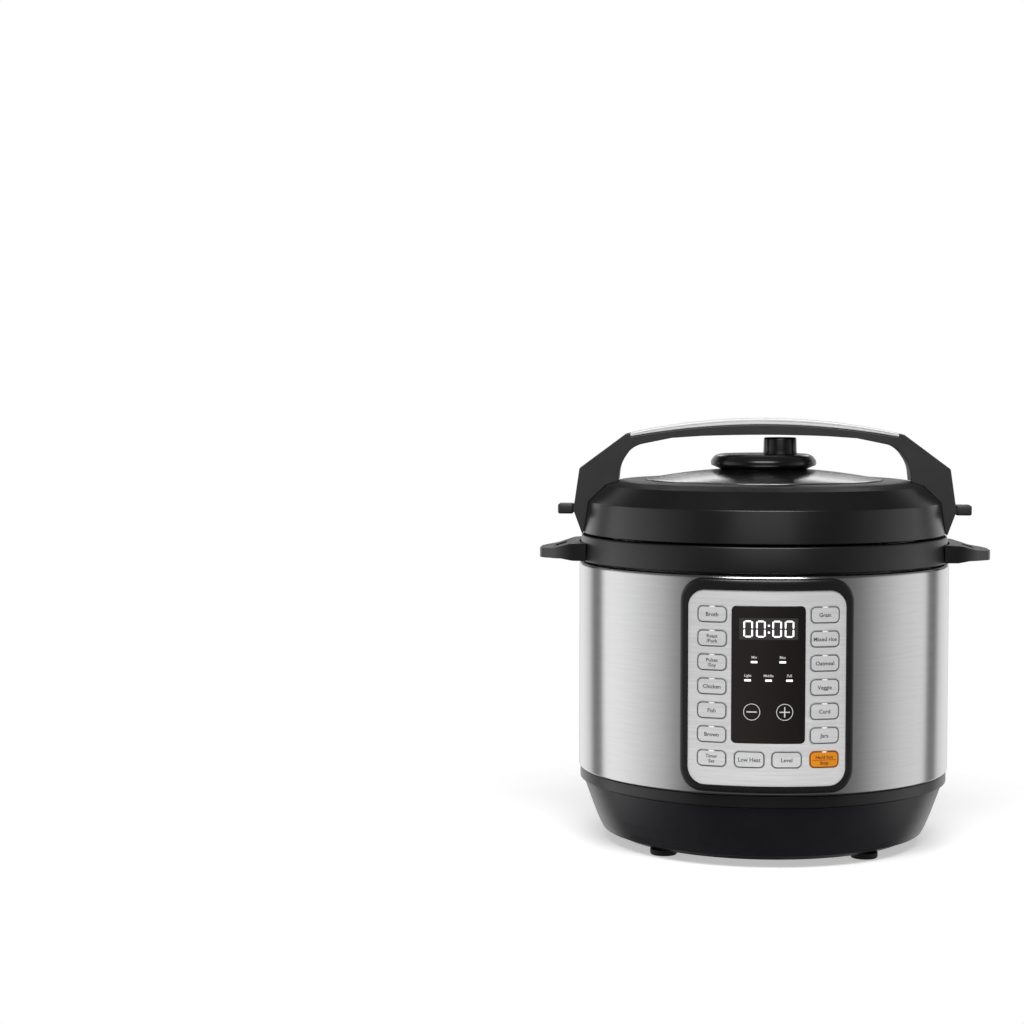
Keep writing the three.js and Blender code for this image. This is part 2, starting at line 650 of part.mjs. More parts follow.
const cooker = new THREE.Group();
cooker.name = 'electric_pressure_cooker';
cooker.add(buildHousing(), buildPanel(), buildLid());
for (const section of cooker.children) section.position.y = AXIS_Y;

export default cooker;
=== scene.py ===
"""Looks of an electric pressure cooker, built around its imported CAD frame.

Every piece is in metres in the CAD frame. Sizes in the dataclasses are millimetres,
and radii are measured from the cooker's own upright axis.
"""
from __future__ import annotations

import logging
import math
from collections.abc import Callable, Iterable, Sequence
from dataclasses import dataclass, field
from enum import Enum

import bmesh
import bpy
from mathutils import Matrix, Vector


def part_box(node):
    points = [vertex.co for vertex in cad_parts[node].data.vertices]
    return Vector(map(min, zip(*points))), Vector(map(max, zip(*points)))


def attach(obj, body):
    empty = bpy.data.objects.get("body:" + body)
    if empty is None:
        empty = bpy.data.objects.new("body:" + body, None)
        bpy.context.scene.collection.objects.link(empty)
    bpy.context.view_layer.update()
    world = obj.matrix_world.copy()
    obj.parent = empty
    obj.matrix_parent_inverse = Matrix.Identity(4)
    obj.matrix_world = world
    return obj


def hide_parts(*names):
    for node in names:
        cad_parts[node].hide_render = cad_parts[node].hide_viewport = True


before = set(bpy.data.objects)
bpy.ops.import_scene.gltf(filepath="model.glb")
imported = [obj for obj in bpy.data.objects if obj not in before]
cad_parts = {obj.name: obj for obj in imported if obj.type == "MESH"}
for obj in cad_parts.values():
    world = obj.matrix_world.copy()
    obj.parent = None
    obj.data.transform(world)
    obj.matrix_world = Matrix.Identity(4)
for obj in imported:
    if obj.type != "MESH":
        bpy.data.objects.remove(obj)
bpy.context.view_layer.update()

LOG = logging.getLogger("pressure_cooker")
MM = 0.001
QUARTER = math.pi / 2

# The steel housing gives the cooker's upright axis and its radius, in millimetres.
STEEL_LOW, STEEL_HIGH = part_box("steel_housing")
AXIS_Y = (STEEL_LOW.y + STEEL_HIGH.y) / 2 / MM
BODY_R = (STEEL_HIGH.x - STEEL_LOW.x) / 2 / MM
FASCIA_R = 145.0               # the fascia's surface from the axis
FLOAT_Y = 58.0                 # the float behind the axis
LID_GAP = 0.3                  # between the arched handle and the lid under it
PORT_GAP = 0.3                 # round the power inlet

# Depths behind the fascia's surface, where less than 0 is in front of it.
HOLE_CUT = (-3.0, 5.0)         # a tool for a hole
RING_CUT = (-2.0, 2.0)         # a tool that makes a disc a ring
PAD_BACK = 3.4                 # the back of every key

MERGE = 0.002                  # points closer than this are one
TOUCHING = 0.01                # a point closer than this to a plane lies in it
REACH_SHARE = 0.49             # the most of an edge that a rounded corner takes up

SENSOR_WIDTH = 36.0            # the camera's
PICTURE_WIDTH = 1024           # the unit of the camera's aim

Colour = tuple[float, float, float]
Point = tuple[float, float]
Place = tuple[float, ...]
Piece = bpy.types.Object
Material = bpy.types.Material
Socket = bpy.types.NodeSocket


# ---------------------------------------------------------------------------
# Shader building
# ---------------------------------------------------------------------------

class Value:
    """A number socket of a node graph, on which the arithmetic operators work."""

    def __init__(self, graph: Graph, socket: Socket) -> None:
        """Keep the socket and the graph that it belongs to."""
        self.graph = graph
        self.socket = socket

    def _math(self, operation: str, *inputs: Value | float) -> Value:
        """Add one Math node.

        Args:
            operation: the Math node's operation.
            inputs: the node's inputs in order.

        Returns:
            The node's result.
        """
        node = self.graph.node("ShaderNodeMath", {"operation": operation}, dict(enumerate(inputs)))
        return Value(self.graph, node.outputs[0])

    def __add__(self, other: Value | float) -> Value:
        """Return the sum."""
        return self._math("ADD", self, other)

    def __sub__(self, other: Value | float) -> Value:
        """Return the difference."""
        return self._math("SUBTRACT", self, other)

    def __mul__(self, other: Value | float) -> Value:
        """Return the product."""
        return self._math("MULTIPLY", self, other)

    def __truediv__(self, other: Value | float) -> Value:
        """Return the quotient."""
        return self._math("DIVIDE", self, other)

    def __pow__(self, other: float) -> Value:
        """Return the power."""
        return self._math("POWER", self, other)

    def angle_to(self, other: Value) -> Value:
        """Return the angle of the direction (other, self)."""
        return self._math("ARCTAN2", self, other)

    def hypot(self, other: Value) -> Value:
        """Return the length of the vector (self, other)."""
        return (self * self + other * other) ** 0.5

    def at_least(self, other: Value) -> Value:
        """Return the larger of the two."""
        return self._math("MAXIMUM", self, other)

    def between(self, low: float, high: float, first: float = 0.0, last: float = 1.0) -> Value:
        """Return a smooth step.

        Args:
            low, high: where the step starts and ends.
            first, last: the result at low and at high.

        Returns:
            The step's result.
        """
        settings = {"interpolation_type": "SMOOTHSTEP"}
        sockets = {0: self, 1: low, 2: high, 3: first, 4: last}
        node = self.graph.node("ShaderNodeMapRange", settings, sockets)
        return Value(self.graph, node.outputs[0])

    def to_range(self, low: float, high: float) -> Value:
        """Return this 0 to 1 value spread from low to high."""
        return self * (high - low) + low


class Graph:
    """A shader node tree whose nodes are added in code."""

    def __init__(self, tree: bpy.types.NodeTree) -> None:
        """Keep the tree."""
        self.tree = tree

    def node(
        self,
        kind: str,
        settings: dict[str, object] | None = None,
        sockets: dict[int | str, object] | None = None,
    ) -> bpy.types.Node:
        """Add any node.

        Args:
            kind: the node's type.
            settings: the node's own properties, set first; "stops" fills a colour ramp.
            sockets: values or links for the input sockets, by name or number.

        Returns:
            The node.
        """
        node = self.tree.nodes.new(kind)
        for key, entry in (settings or {}).items():
            if key == "stops":
                self._fill_ramp(node, entry)
            else:
                setattr(node, key, entry)
        for key, entry in (sockets or {}).items():
            self.feed(node.inputs[key], entry)
        return node

    @staticmethod
    def _fill_ramp(node: bpy.types.Node, stops: Sequence[tuple[float, Colour]]) -> None:
        """Give a new colour ramp its stops; it comes with a first and a last one."""
        elements = node.color_ramp.elements
        for index, (place, colour) in enumerate(stops):
            if index == 0:
                element = elements[0]
            elif index == len(stops) - 1:
                element = elements[-1]
            else:
                element = elements.new(place)
            element.position = place
            element.color = (*colour, 1.0)

    def feed(self, socket: Socket, entry: object) -> None:
        """Link or set an input socket."""
        if isinstance(entry, Value):
            entry = entry.socket
        if isinstance(entry, Socket):
            self.tree.links.new(entry, socket)
        elif socket.type == "RGBA" and len(entry) == 3:
            socket.default_value = (*entry, 1.0)
        else:
            socket.default_value = entry

    def parts_of(self, vector: Socket) -> tuple[Value, Value, Value]:
        """Return a vector's three numbers."""
        parts = self.node("ShaderNodeSeparateXYZ", {}, {0: vector})
        return tuple(Value(self, socket) for socket in parts.outputs)


class Paint(Graph):
    """A material on a Principled shader, its patterns laid out in the cooker's own frame."""

    def __init__(self, name: str) -> None:
        """Start a material with its Principled shader."""
        self.material = bpy.data.materials.new(name)
        self.material.use_nodes = True
        super().__init__(self.material.node_tree)
        self.shader = self.tree.nodes["Principled BSDF"]
        self.output = self.tree.nodes["Material Output"]

    def set(self, **values: object) -> None:
        """Set or link the Principled shader's sockets, their spaces written as underscores."""
        for key, entry in values.items():
            self.feed(self.shader.inputs[key.replace("_", " ")], entry)

    def place(self) -> tuple[Value, Value, Value]:
        """Return the surface point from the cooker's axis at floor level, in metres."""
        point = self.node("ShaderNodeTexCoord").outputs["Object"]
        shift = {"Vector": point, "Location": (0.0, -AXIS_Y * MM, 0.0)}
        return self.parts_of(self.node("ShaderNodeMapping", {}, shift).outputs[0])

    def join(self, x: Value | float, y: Value | float, z: Value | float) -> Socket:
        """Return a vector socket made of three values."""
        return self.node("ShaderNodeCombineXYZ", {}, {0: x, 1: y, 2: z}).outputs[0]

    def noise(
        self, vector: Socket, scale: float, detail: float = 3.0, rough: float = 0.5
    ) -> Value:
        """Return a noise value on a vector.

        Args:
            vector: where the noise is read.
            scale: how many of its lumps there are in a unit of the vector.
            detail: how many finer layers it has.
            rough: how strong the finer layers are.

        Returns:
            A value from 0 to 1.
        """
        sockets = {"Vector": vector, "Scale": scale, "Detail": detail, "Roughness": rough}
        return Value(self, self.node("ShaderNodeTexNoise", {}, sockets).outputs[0])

    def mix(self, amount: Value | float, low: object, high: object) -> Socket:
        """Return a colour between two colours."""
        sockets = {"Factor": amount, 6: low, 7: high}
        return self.node("ShaderNodeMix", {"data_type": "RGBA"}, sockets).outputs[2]

    def bump(self, height: Value, depth: float, strength: float = 1.0) -> Socket:
        """Return a normal pushed by a height; depth is in millimetres."""
        sockets = {"Strength": strength, "Distance": depth * MM, "Height": height}
        return self.node("ShaderNodeBump", {}, sockets).outputs[0]


def shade(colour: Colour, factor: float) -> Colour:
    """Return a colour made darker or lighter."""
    return tuple(min(1.0, part * factor) for part in colour)


# ---------------------------------------------------------------------------
# Finishes
# ---------------------------------------------------------------------------

@dataclass(frozen=True)
class Moulded:
    """Moulded plastic or rubber with a fine spark-eroded grain and slight handling marks."""

    name: str
    colour: Colour
    roughness: float
    grain: float = 0.02
    grain_scale: float = 2600.0
    mark_scale: float = 45.0
    mark_tones: tuple[float, float] = (0.94, 1.07)
    mark_roughness: tuple[float, float] = (-0.012, 0.018)

    def make(self) -> Material:
        """Return the material."""
        paint = Paint(self.name)
        x, y, z = paint.place()
        point = paint.join(x, y, z)
        grain = paint.noise(point, self.grain_scale, 2.0)
        worn = paint.noise(point, self.mark_scale, 4.0, 0.6).between(0.35, 0.75)
        dark, light = (shade(self.colour, factor) for factor in self.mark_tones)
        low, high = (self.roughness + change for change in self.mark_roughness)
        paint.set(
            Base_Color=paint.mix(worn, dark, light),
            Roughness=worn.to_range(low, high),
            Normal=paint.bump(grain, self.grain),
        )
        return paint.material


class Brushing(Enum):
    """The way that a metal's brush marks run."""

    AROUND = "around the upright axis"
    ACROSS = "left to right"
    TURNED = "circles on a turned face"


@dataclass(frozen=True)
class BrushedMetal:
    """Metal with fine parallel brush marks in colour, roughness and relief."""

    name: str
    colour: Colour
    roughness: float
    brushing: Brushing = Brushing.AROUND
    depth: float = 0.012
    contrast: float = 0.10
    metallic: float = 1.0
    streak: float = 0.06
    closeness: float = 900.0
    broad_fineness: float = 0.22
    cloud_scale: float = 14.0

    def make(self) -> Material:
        """Return the material."""
        paint = Paint(self.name)
        x, y, z = paint.place()
        fine = paint.noise(self._along(paint, x, y, z, 1.0), 3.0, 5.0, 0.7)
        broad = paint.noise(self._along(paint, x, y, z, self.broad_fineness), 3.0, 3.0, 0.5)
        cloud = paint.noise(paint.join(x, y, z), self.cloud_scale, 2.0)
        tone = fine.between(0.25, 0.75) * 0.6 + broad.between(0.3, 0.7) * 0.4
        wear = broad * 0.6 + cloud * 0.4
        low, high = shade(self.colour, 1 - self.contrast), shade(self.colour, 1 + self.contrast / 2)
        paint.set(
            Base_Color=paint.mix(tone, low, high),
            Metallic=self.metallic,
            Roughness=wear.to_range(self.roughness - self.streak, self.roughness + self.streak),
            Normal=paint.bump(fine, self.depth),
            Anisotropic=0.55 if self.brushing is Brushing.AROUND else 0.3,
            Anisotropic_Rotation=0.25,
        )
        return paint.material

    def _along(self, paint: Paint, x: Value, y: Value, z: Value, fineness: float) -> Socket:
        """Return a vector in which the brush marks are stretched.

        Args:
            paint: the material.
            x, y, z: the surface point in metres.
            fineness: how close the marks lie, 1 being the finest.

        Returns:
            The vector's socket.
        """
        close = self.closeness * fineness
        if self.brushing is Brushing.ACROSS:
            return paint.join(x * 7.0, y * 3.0, z * close)
        if self.brushing is Brushing.TURNED:
            return paint.join(x.hypot(y) * close, y.angle_to(x) * 0.7, z * 40.0)
        return paint.join(y.angle_to(x) * 1.6, x.hypot(y) * 60.0, z * close)


@dataclass(frozen=True)
class Polished:
    """Polished metal with faint turned marks and fingerprints' haze."""

    name: str
    colour: Colour
    roughness: float
    closeness: float = 700.0
    haze_scale: float = 22.0
    haze_roughness: float = 0.1

    def make(self) -> Material:
        """Return the material."""
        paint = Paint(self.name)
        x, y, z = paint.place()
        rings = paint.noise(paint.join(x.hypot(y) * self.closeness, 0.0, z * 30.0), 2.0, 3.0)
        haze = paint.noise(paint.join(x, y, z), self.haze_scale, 4.0, 0.6).between(0.45, 0.8)
        paint.set(
            Base_Color=paint.mix(rings, shade(self.colour, 0.94), shade(self.colour, 1.03)),
            Metallic=1.0,
            Roughness=haze.to_range(self.roughness, self.roughness + self.haze_roughness),
            Normal=paint.bump(rings, 0.003),
        )
        return paint.material


@dataclass(frozen=True)
class Gloss:
    """Glossy plastic or glass, clear or opaque, with a little orange peel, dust haze and a painted
    shade on its right side.
    """

    name: str
    colour: Colour
    roughness: float = 0.08
    alpha: float = 1.0
    # how much the right side is painted darker: a painted shade standing for the reflection falling
    # off
    right_painted_shade: float = 0.0
    peel: float = 0.01
    peel_scale: float = 260.0
    haze_scale: float = 30.0
    haze_roughness: float = 0.07

    def make(self) -> Material:
        """Return the material."""
        paint = Paint(self.name)
        x, y, z = paint.place()
        point = paint.join(x, y, z)
        peel = paint.noise(point, self.peel_scale, 1.0)
        haze = paint.noise(point, self.haze_scale, 4.0, 0.6).between(0.4, 0.8)
        # painted shade: the colour darkens towards the right side, past x = 0.03 m, standing for
        # the window's reflection falling off there
        fade = x.between(-0.02, 0.03) * self.right_painted_shade
        paint.set(
            Base_Color=paint.mix(fade, self.colour, shade(self.colour, 0.3)),
            Roughness=haze.to_range(self.roughness, self.roughness + self.haze_roughness),
            Normal=paint.bump(peel, self.peel),
            Alpha=self.alpha,
        )
        return paint.material


@dataclass(frozen=True)
class Ink:
    """Screen-printed ink with a slightly uneven edge tone."""

    name: str
    colour: Colour
    roughness: float = 0.45
    glow: float = 0.0
    speck_scale: float = 1500.0
    speck_roughness: float = 0.05

    def make(self) -> Material:
        """Return the material."""
        paint = Paint(self.name)
        x, y, z = paint.place()
        speck = paint.noise(paint.join(x, y, z), self.speck_scale, 2.0)
        low, high = self.roughness - self.speck_roughness, self.roughness + self.speck_roughness
        paint.set(
            Base_Color=paint.mix(speck, shade(self.colour, 0.85), shade(self.colour, 1.1)),
            Roughness=speck.to_range(low, high),
            Emission_Color=self.colour,
            Emission_Strength=self.glow,
        )
        return paint.material


@dataclass(frozen=True)
class CircuitBoard:
    """Green solder mask with paler copper runs under it."""

    name: str
    mask: Colour = (0.012, 0.09, 0.035)
    copper: Colour = (0.03, 0.19, 0.075)
    run_scale: float = 260.0

    def make(self) -> Material:
        """Return the material."""
        paint = Paint(self.name)
        x, y, z = paint.place()
        sockets = {"Vector": paint.join(x + y, z + y * 0.5, 0.0), "Scale": self.run_scale}
        settings = {"distance": "MANHATTAN", "feature": "F1"}
        cells = paint.node("ShaderNodeTexVoronoi", settings, sockets)
        runs = Value(paint, cells.outputs["Distance"]).between(0.32, 0.36)
        paint.set(
            Base_Color=paint.mix(runs, self.mask, self.copper),
            Roughness=runs.to_range(0.3, 0.42),
            Normal=paint.bump(runs, 0.03),
        )
        return paint.material


# ---------------------------------------------------------------------------
# Modelling steps
# ---------------------------------------------------------------------------

def rounded(corners: Sequence[Place], closed: bool = True, steps: int = 5) -> list[Point]:
    """Return the outline's points with its corners rounded.

    Args:
        corners: the outline's corners in order, each (u, v) or (u, v, radius) in millimetres.
        closed: whether the last corner joins the first; the ends of an open one stay sharp.
        steps: how many edges a rounded corner has.

    Returns:
        The outline's points in order.
    """
    points: list[Point] = []
    count = len(corners)
    for index, (u, v, *radius) in enumerate(corners):
        is_end = not closed and index in (0, count - 1)
        if not radius or is_end:
            points.append((u, v))
            continue
        here = Vector((u, v))
        back = Vector(corners[index - 1][:2]) - here
        ahead = Vector(corners[(index + 1) % count][:2]) - here
        half = back.angle(ahead) / 2
        longest = REACH_SHARE * min(back.length, ahead.length)
        reach = min(radius[0] / math.tan(half), longest)
        back.normalize()
        ahead.normalize()
        start, end = here + back * reach, here + ahead * reach
        centre = here + (back + ahead).normalized() * (reach / math.cos(half))
        turn = (start - centre).angle_signed(end - centre)
        for step in range(steps + 1):
            angle = -turn * step / steps
            arm = start - centre
            points.append((
                centre.x + arm.x * math.cos(angle) - arm.y * math.sin(angle),
                centre.y + arm.x * math.sin(angle) + arm.y * math.cos(angle),
            ))
    return points


class Bench:
    """The steps by which every piece is modelled. Lengths given to it are millimetres."""

    @staticmethod
    def clear() -> None:
        """Go to object mode with nothing selected."""
        if bpy.context.mode != "OBJECT":
            bpy.ops.object.mode_set(mode="OBJECT")
        bpy.ops.object.select_all(action="DESELECT")

    @staticmethod
    def pick(piece: Piece) -> None:
        """Select one object alone."""
        Bench.clear()
        piece.select_set(True)
        bpy.context.view_layer.objects.active = piece

    @staticmethod
    def named(name: str) -> Piece:
        """Name the new primitive, put its place in its mesh and return it."""
        piece = bpy.context.view_layer.objects.active
        piece.name = piece.data.name = name
        bpy.ops.object.transform_apply(location=True, rotation=True, scale=True)
        return piece

    @staticmethod
    def edit(piece: Piece) -> None:
        """Edit a piece with all of it selected."""
        Bench.pick(piece)
        bpy.ops.object.mode_set(mode="EDIT")
        bpy.ops.mesh.select_mode(type="VERT")
        bpy.ops.mesh.select_all(action="SELECT")

    @staticmethod
    def choose_edges(piece: Piece, test: Callable[[Vector], bool]) -> None:
        """Select the edges whose middle passes a test, in edit mode.

        Args:
            piece: the piece in edit mode.
            test: says whether a middle, in millimetres, is wanted.
        """
        bpy.ops.mesh.select_all(action="DESELECT")
        bpy.ops.mesh.select_mode(type="EDGE")
        mesh = bmesh.from_edit_mesh(piece.data)
        for edge in mesh.edges:
            first, second = (vertex.co for vertex in edge.verts)
            edge.select_set(test((first + second) / 2 / MM))
        mesh.select_flush_mode()
        bmesh.update_edit_mesh(piece.data)

    @staticmethod
    def finish_shell(piece: Piece, angle: float = 32.0) -> Piece:
        """Merge doubles, face everything outward and smooth the shading.

        Args:
            piece: the piece.
            angle: edges sharper than this, in degrees, stay crisp.

        Returns:
            The piece.
        """
        Bench.edit(piece)
        bpy.ops.mesh.remove_doubles(threshold=MERGE * MM)
        bpy.ops.mesh.normals_make_consistent(inside=False)
        Bench.pick(piece)
        bpy.ops.object.shade_smooth_by_angle(angle=math.radians(angle))
        return piece

    @staticmethod
    def path(name: str, points: Sequence[Point], upright: Callable[[Point], Vector]) -> Piece:
        """Draw an open chain of edges through points by extruding one vertex.

        Args:
            name: the piece's name.
            points: the outline's points.
            upright: gives a point's place in millimetres.

        Returns:
            The chain, in edit mode.
        """
        Bench.clear()
        bpy.ops.mesh.primitive_plane_add(size=MM, location=upright(points[0]) * MM)
        piece = Bench.named(name)
        Bench.edit(piece)
        bpy.ops.mesh.merge(type="CENTER")
        for here, there in zip(points, points[1:]):
            step = (upright(there) - upright(here)) * MM
            bpy.ops.mesh.extrude_region_move(TRANSFORM_OT_translate={"value": step})
        return piece

    @staticmethod
    def turned(
        name: str,
        outline: Sequence[Point],
        steps: int = 128,
        centre: Point = (0.0, 0.0),
        angle: float = 32.0,
    ) -> Piece:
        """Spin an outline of (radius, height) points round an upright axis.

        Args:
            name: the piece's name.
            outline: starts and ends on the axis, or is closed here.
            steps: facets around.
            centre: the axis's place from the cooker's axis.
            angle: edges sharper than this, in degrees, stay crisp.

        Returns:
            The piece.
        """
        on_axis = outline[0][0] < 1e-6 and outline[-1][0] < 1e-6
        points = list(outline) if on_axis else [*outline, outline[0]]
        x0, y0 = centre[0], centre[1] + AXIS_Y
        piece = Bench.path(name, points, lambda p: Vector((x0 + p[0], y0, p[1])))
        bpy.ops.mesh.select_all(action="SELECT")
        bpy.ops.mesh.remove_doubles(threshold=MERGE * MM)
        bpy.ops.mesh.spin(
            steps=steps, angle=2 * math.pi, center=(x0 * MM, y0 * MM, 0.0), axis=(0, 0, 1),
            use_auto_merge=True,
        )
        return Bench.finish_shell(piece, angle)

    @staticmethod
    def _filled(
        name: str, outline: Sequence[Point], upright: Callable[[Point], Vector], depth: Vector
    ) -> Piece:
        """Fill an outline and thicken it.

        Args:
            name: the piece's name.
            outline: the outline's points, which are joined up here.
            upright: gives a point's place in millimetres.
            depth: the way and distance by which it is thickened.

        Returns:
            The piece.
        """
        piece = Bench.path(name, [*outline, outline[0]], upright)
        bpy.ops.mesh.select_all(action="SELECT")
        bpy.ops.mesh.edge_face_add()
        bpy.ops.mesh.extrude_region_move(TRANSFORM_OT_translate={"value": depth * MM})
        return Bench.finish_shell(piece)

    @staticmethod
    def sheet_of(name: str, outline: Sequence[Point], front: float, depth: float) -> Piece:
        """Fill an outline drawn in X and Z and thicken it from front towards the back."""
        return Bench._filled(
            name, outline, lambda p: Vector((p[0], front, p[1])), Vector((0, depth, 0))
        )

    @staticmethod
    def plan_of(name: str, outline: Sequence[Point], low: float, height: float) -> Piece:
        """Fill an outline drawn in X and Y and thicken it upward from low."""
        return Bench._filled(
            name, outline, lambda p: Vector((p[0], p[1], low)), Vector((0, 0, height))
        )

    @staticmethod
    def drill(
        radius: float, low: float, high: float, centre: Point = (0.0, 0.0), steps: int = 32
    ) -> Piece:
        """Return an upright rod with which a hole is cut."""
        places = [(0, low), (radius, low), (radius, high), (0, high)]
        return Bench.turned("drill", places, steps, centre)

    @staticmethod
    def block(name: str, low: Sequence[float], high: Sequence[float], edge: float = 0.0) -> Piece:
        """Return a box between two corners, its edges rounded to a radius."""
        Bench.clear()
        middle = [(a + b) / 2 * MM for a, b in zip(low, high)]
        bpy.ops.mesh.primitive_cube_add(size=1, location=middle)
        bpy.ops.transform.resize(value=[(b - a) * MM for a, b in zip(low, high)])
        piece = Bench.named(name)
        if edge > 0:
            Bench.edit(piece)
            bpy.ops.mesh.bevel(offset=edge * MM, segments=3, affect="EDGES")
        return Bench.finish_shell(piece)

    @staticmethod
    def modify(piece: Piece, kind: str, **settings: object) -> Piece:
        """Add a modifier with its settings and apply it."""
        Bench.pick(piece)
        modifier = piece.modifiers.new(kind.lower(), kind)
        for key, entry in settings.items():
            setattr(modifier, key, entry)
        bpy.ops.object.modifier_apply(modifier=modifier.name)
        return piece

    @staticmethod
    def cut(piece: Piece, *tools: Piece, keep: str = "DIFFERENCE") -> Piece:
        """Cut a piece with others, which are used up."""
        for tool in tools:
            Bench.modify(piece, "BOOLEAN", object=tool, operation=keep, solver="EXACT")
            bpy.data.objects.remove(tool)
        return Bench.finish_shell(piece)

    @staticmethod
    def soften(piece: Piece, width: float, segments: int = 2, angle: float = 30.0) -> Piece:
        """Round a piece's crisp edges.

        Args:
            piece: the piece.
            width: how far the rounding reaches from an edge.
            segments: how many faces it has.
            angle: only edges sharper than this, in degrees, are rounded.

        Returns:
            The piece.
        """
        Bench.modify(
            piece, "BEVEL", width=width * MM, segments=segments, limit_method="ANGLE",
            angle_limit=math.radians(angle), use_clamp_overlap=True, miter_outer="MITER_ARC",
        )
        return Bench.finish_shell(piece, 40.0)

    @staticmethod
    def join(piece: Piece, *others: Piece) -> Piece:
        """Make several meshes one object."""
        Bench.pick(piece)
        for other in others:
            other.select_set(True)
        bpy.ops.object.join()
        return piece

    @staticmethod
    def wrapped(piece: Piece, strip: float = 4.0) -> Piece:
        """Bend a flat piece round the cooker's axis.

        The piece is modelled flat, with its Y = 0 plane standing for the fascia's surface and
        -Y for outward, and its X is a length along that surface.

        Args:
            piece: the flat piece.
            strip: the width of the strips that it is divided into.

        Returns:
            The same piece, bent and in its place.
        """
        across = [corner[0] / MM for corner in piece.bound_box]
        low, high = min(across), max(across)
        Bench.edit(piece)
        for place in range(math.ceil(low / strip), math.floor(high / strip) + 1):
            if low + 0.05 < place * strip < high - 0.05:
                bpy.ops.mesh.select_all(action="SELECT")
                bpy.ops.mesh.bisect(plane_co=(place * strip * MM, 0, 0), plane_no=(1, 0, 0))
        Bench.modify(
            piece, "SIMPLE_DEFORM", deform_method="BEND", deform_axis="Z",
            angle=(high - low) / FASCIA_R,
        )
        Bench.pick(piece)
        bpy.ops.transform.translate(value=(0, (AXIS_Y - FASCIA_R) * MM, 0))
        bpy.ops.object.transform_apply(location=True, rotation=True, scale=True)
        bpy.ops.object.shade_smooth_by_angle(angle=math.radians(35))
        return piece


def round_rect(
    x: float, z: float, half_width: float, half_height: float, corner: float, steps: int = 6
) -> list[Point]:
    """Return a rounded rectangle's outline round a centre.

    Args:
        x, z: the centre.
        half_width, half_height: half its size.
        corner: the corners' radius.
        steps: how many edges a corner has.

    Returns:
        The outline's points.
    """
    places = [(1, -1), (1, 1), (-1, 1), (-1, -1)]
    corners = [(x + sx * half_width, z + sz * half_height, corner) for sx, sz in places]
    return rounded(corners, steps=steps)


def slab(name: str, outline: Sequence[Point], front: float, back: float) -> Piece:
    """Return a flat panel piece.

    Args:
        name: the piece's name.
        outline: its outline, in X and Z.
        front, back: its depths behind the fascia's surface.

    Returns:
        The piece, which isn't bent yet.
    """
    return Bench.sheet_of(name, outline, front, back - front)


def letters(name: str, words: str, x: float, z: float, height: float, front: float) -> Piece:
    """Return flat lettering as a thin mesh that stands on a surface.

    Args:
        name: the piece's name.
        words: the text, whose lines are centred.
        x, z: its centre.
        height: the letter size.
        front: the Y of its face.

    Returns:
        The lettering.
    """
    Bench.clear()
    bpy.ops.object.text_add(location=(0, 0, 0), rotation=(QUARTER, 0, 0))
    text = bpy.context.view_layer.objects.active
    text.data.body = words
    text.data.align_x = "CENTER"
    text.data.align_y = "CENTER"
    text.data.size = height * MM
    text.data.space_line = 0.78
    text.data.resolution_u = 2
    thickness, swell = 0.03, 0.016
    text.data.extrude = thickness * MM
    text.data.offset = swell * height * MM
    text.location = (x * MM, (front + thickness) * MM, z * MM)
    bpy.ops.object.convert(target="MESH")
    return Bench.finish_shell(Bench.named(name))


def dress(
    piece: Piece, material: Material, body: str, replaces: Iterable[str] = ()
) -> Piece:
    """Give a new piece its material, hang it on its CAD body and hide the nodes that it replaces.

    Args:
        piece: the piece.
        material: its only material.
        body: the CAD body that it rides on.
        replaces: the CAD nodes that it stands for.

    Returns:
        The piece.
    """
    piece.data.materials.clear()
    piece.data.materials.append(material)
    if not piece.data.polygons:
        raise ValueError(f"{piece.name} has no faces")
    for polygon in piece.data.polygons:
        polygon.material_index = 0
    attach(piece, body)
    for node in replaces:
        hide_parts(node)
    LOG.info("%s rides on %s, %d faces", piece.name, body, len(piece.data.polygons))
    return piece


def repaint(nodes: Iterable[str], material: Material) -> None:
    """Give CAD nodes that stay a better material."""
    for name in nodes:
        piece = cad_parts[name]
        piece.data.materials.clear()
        piece.data.materials.append(material)
        LOG.info("%s keeps its CAD shape with %s", name, material.name)


# ---------------------------------------------------------------------------
# Sub-assemblies
# ---------------------------------------------------------------------------

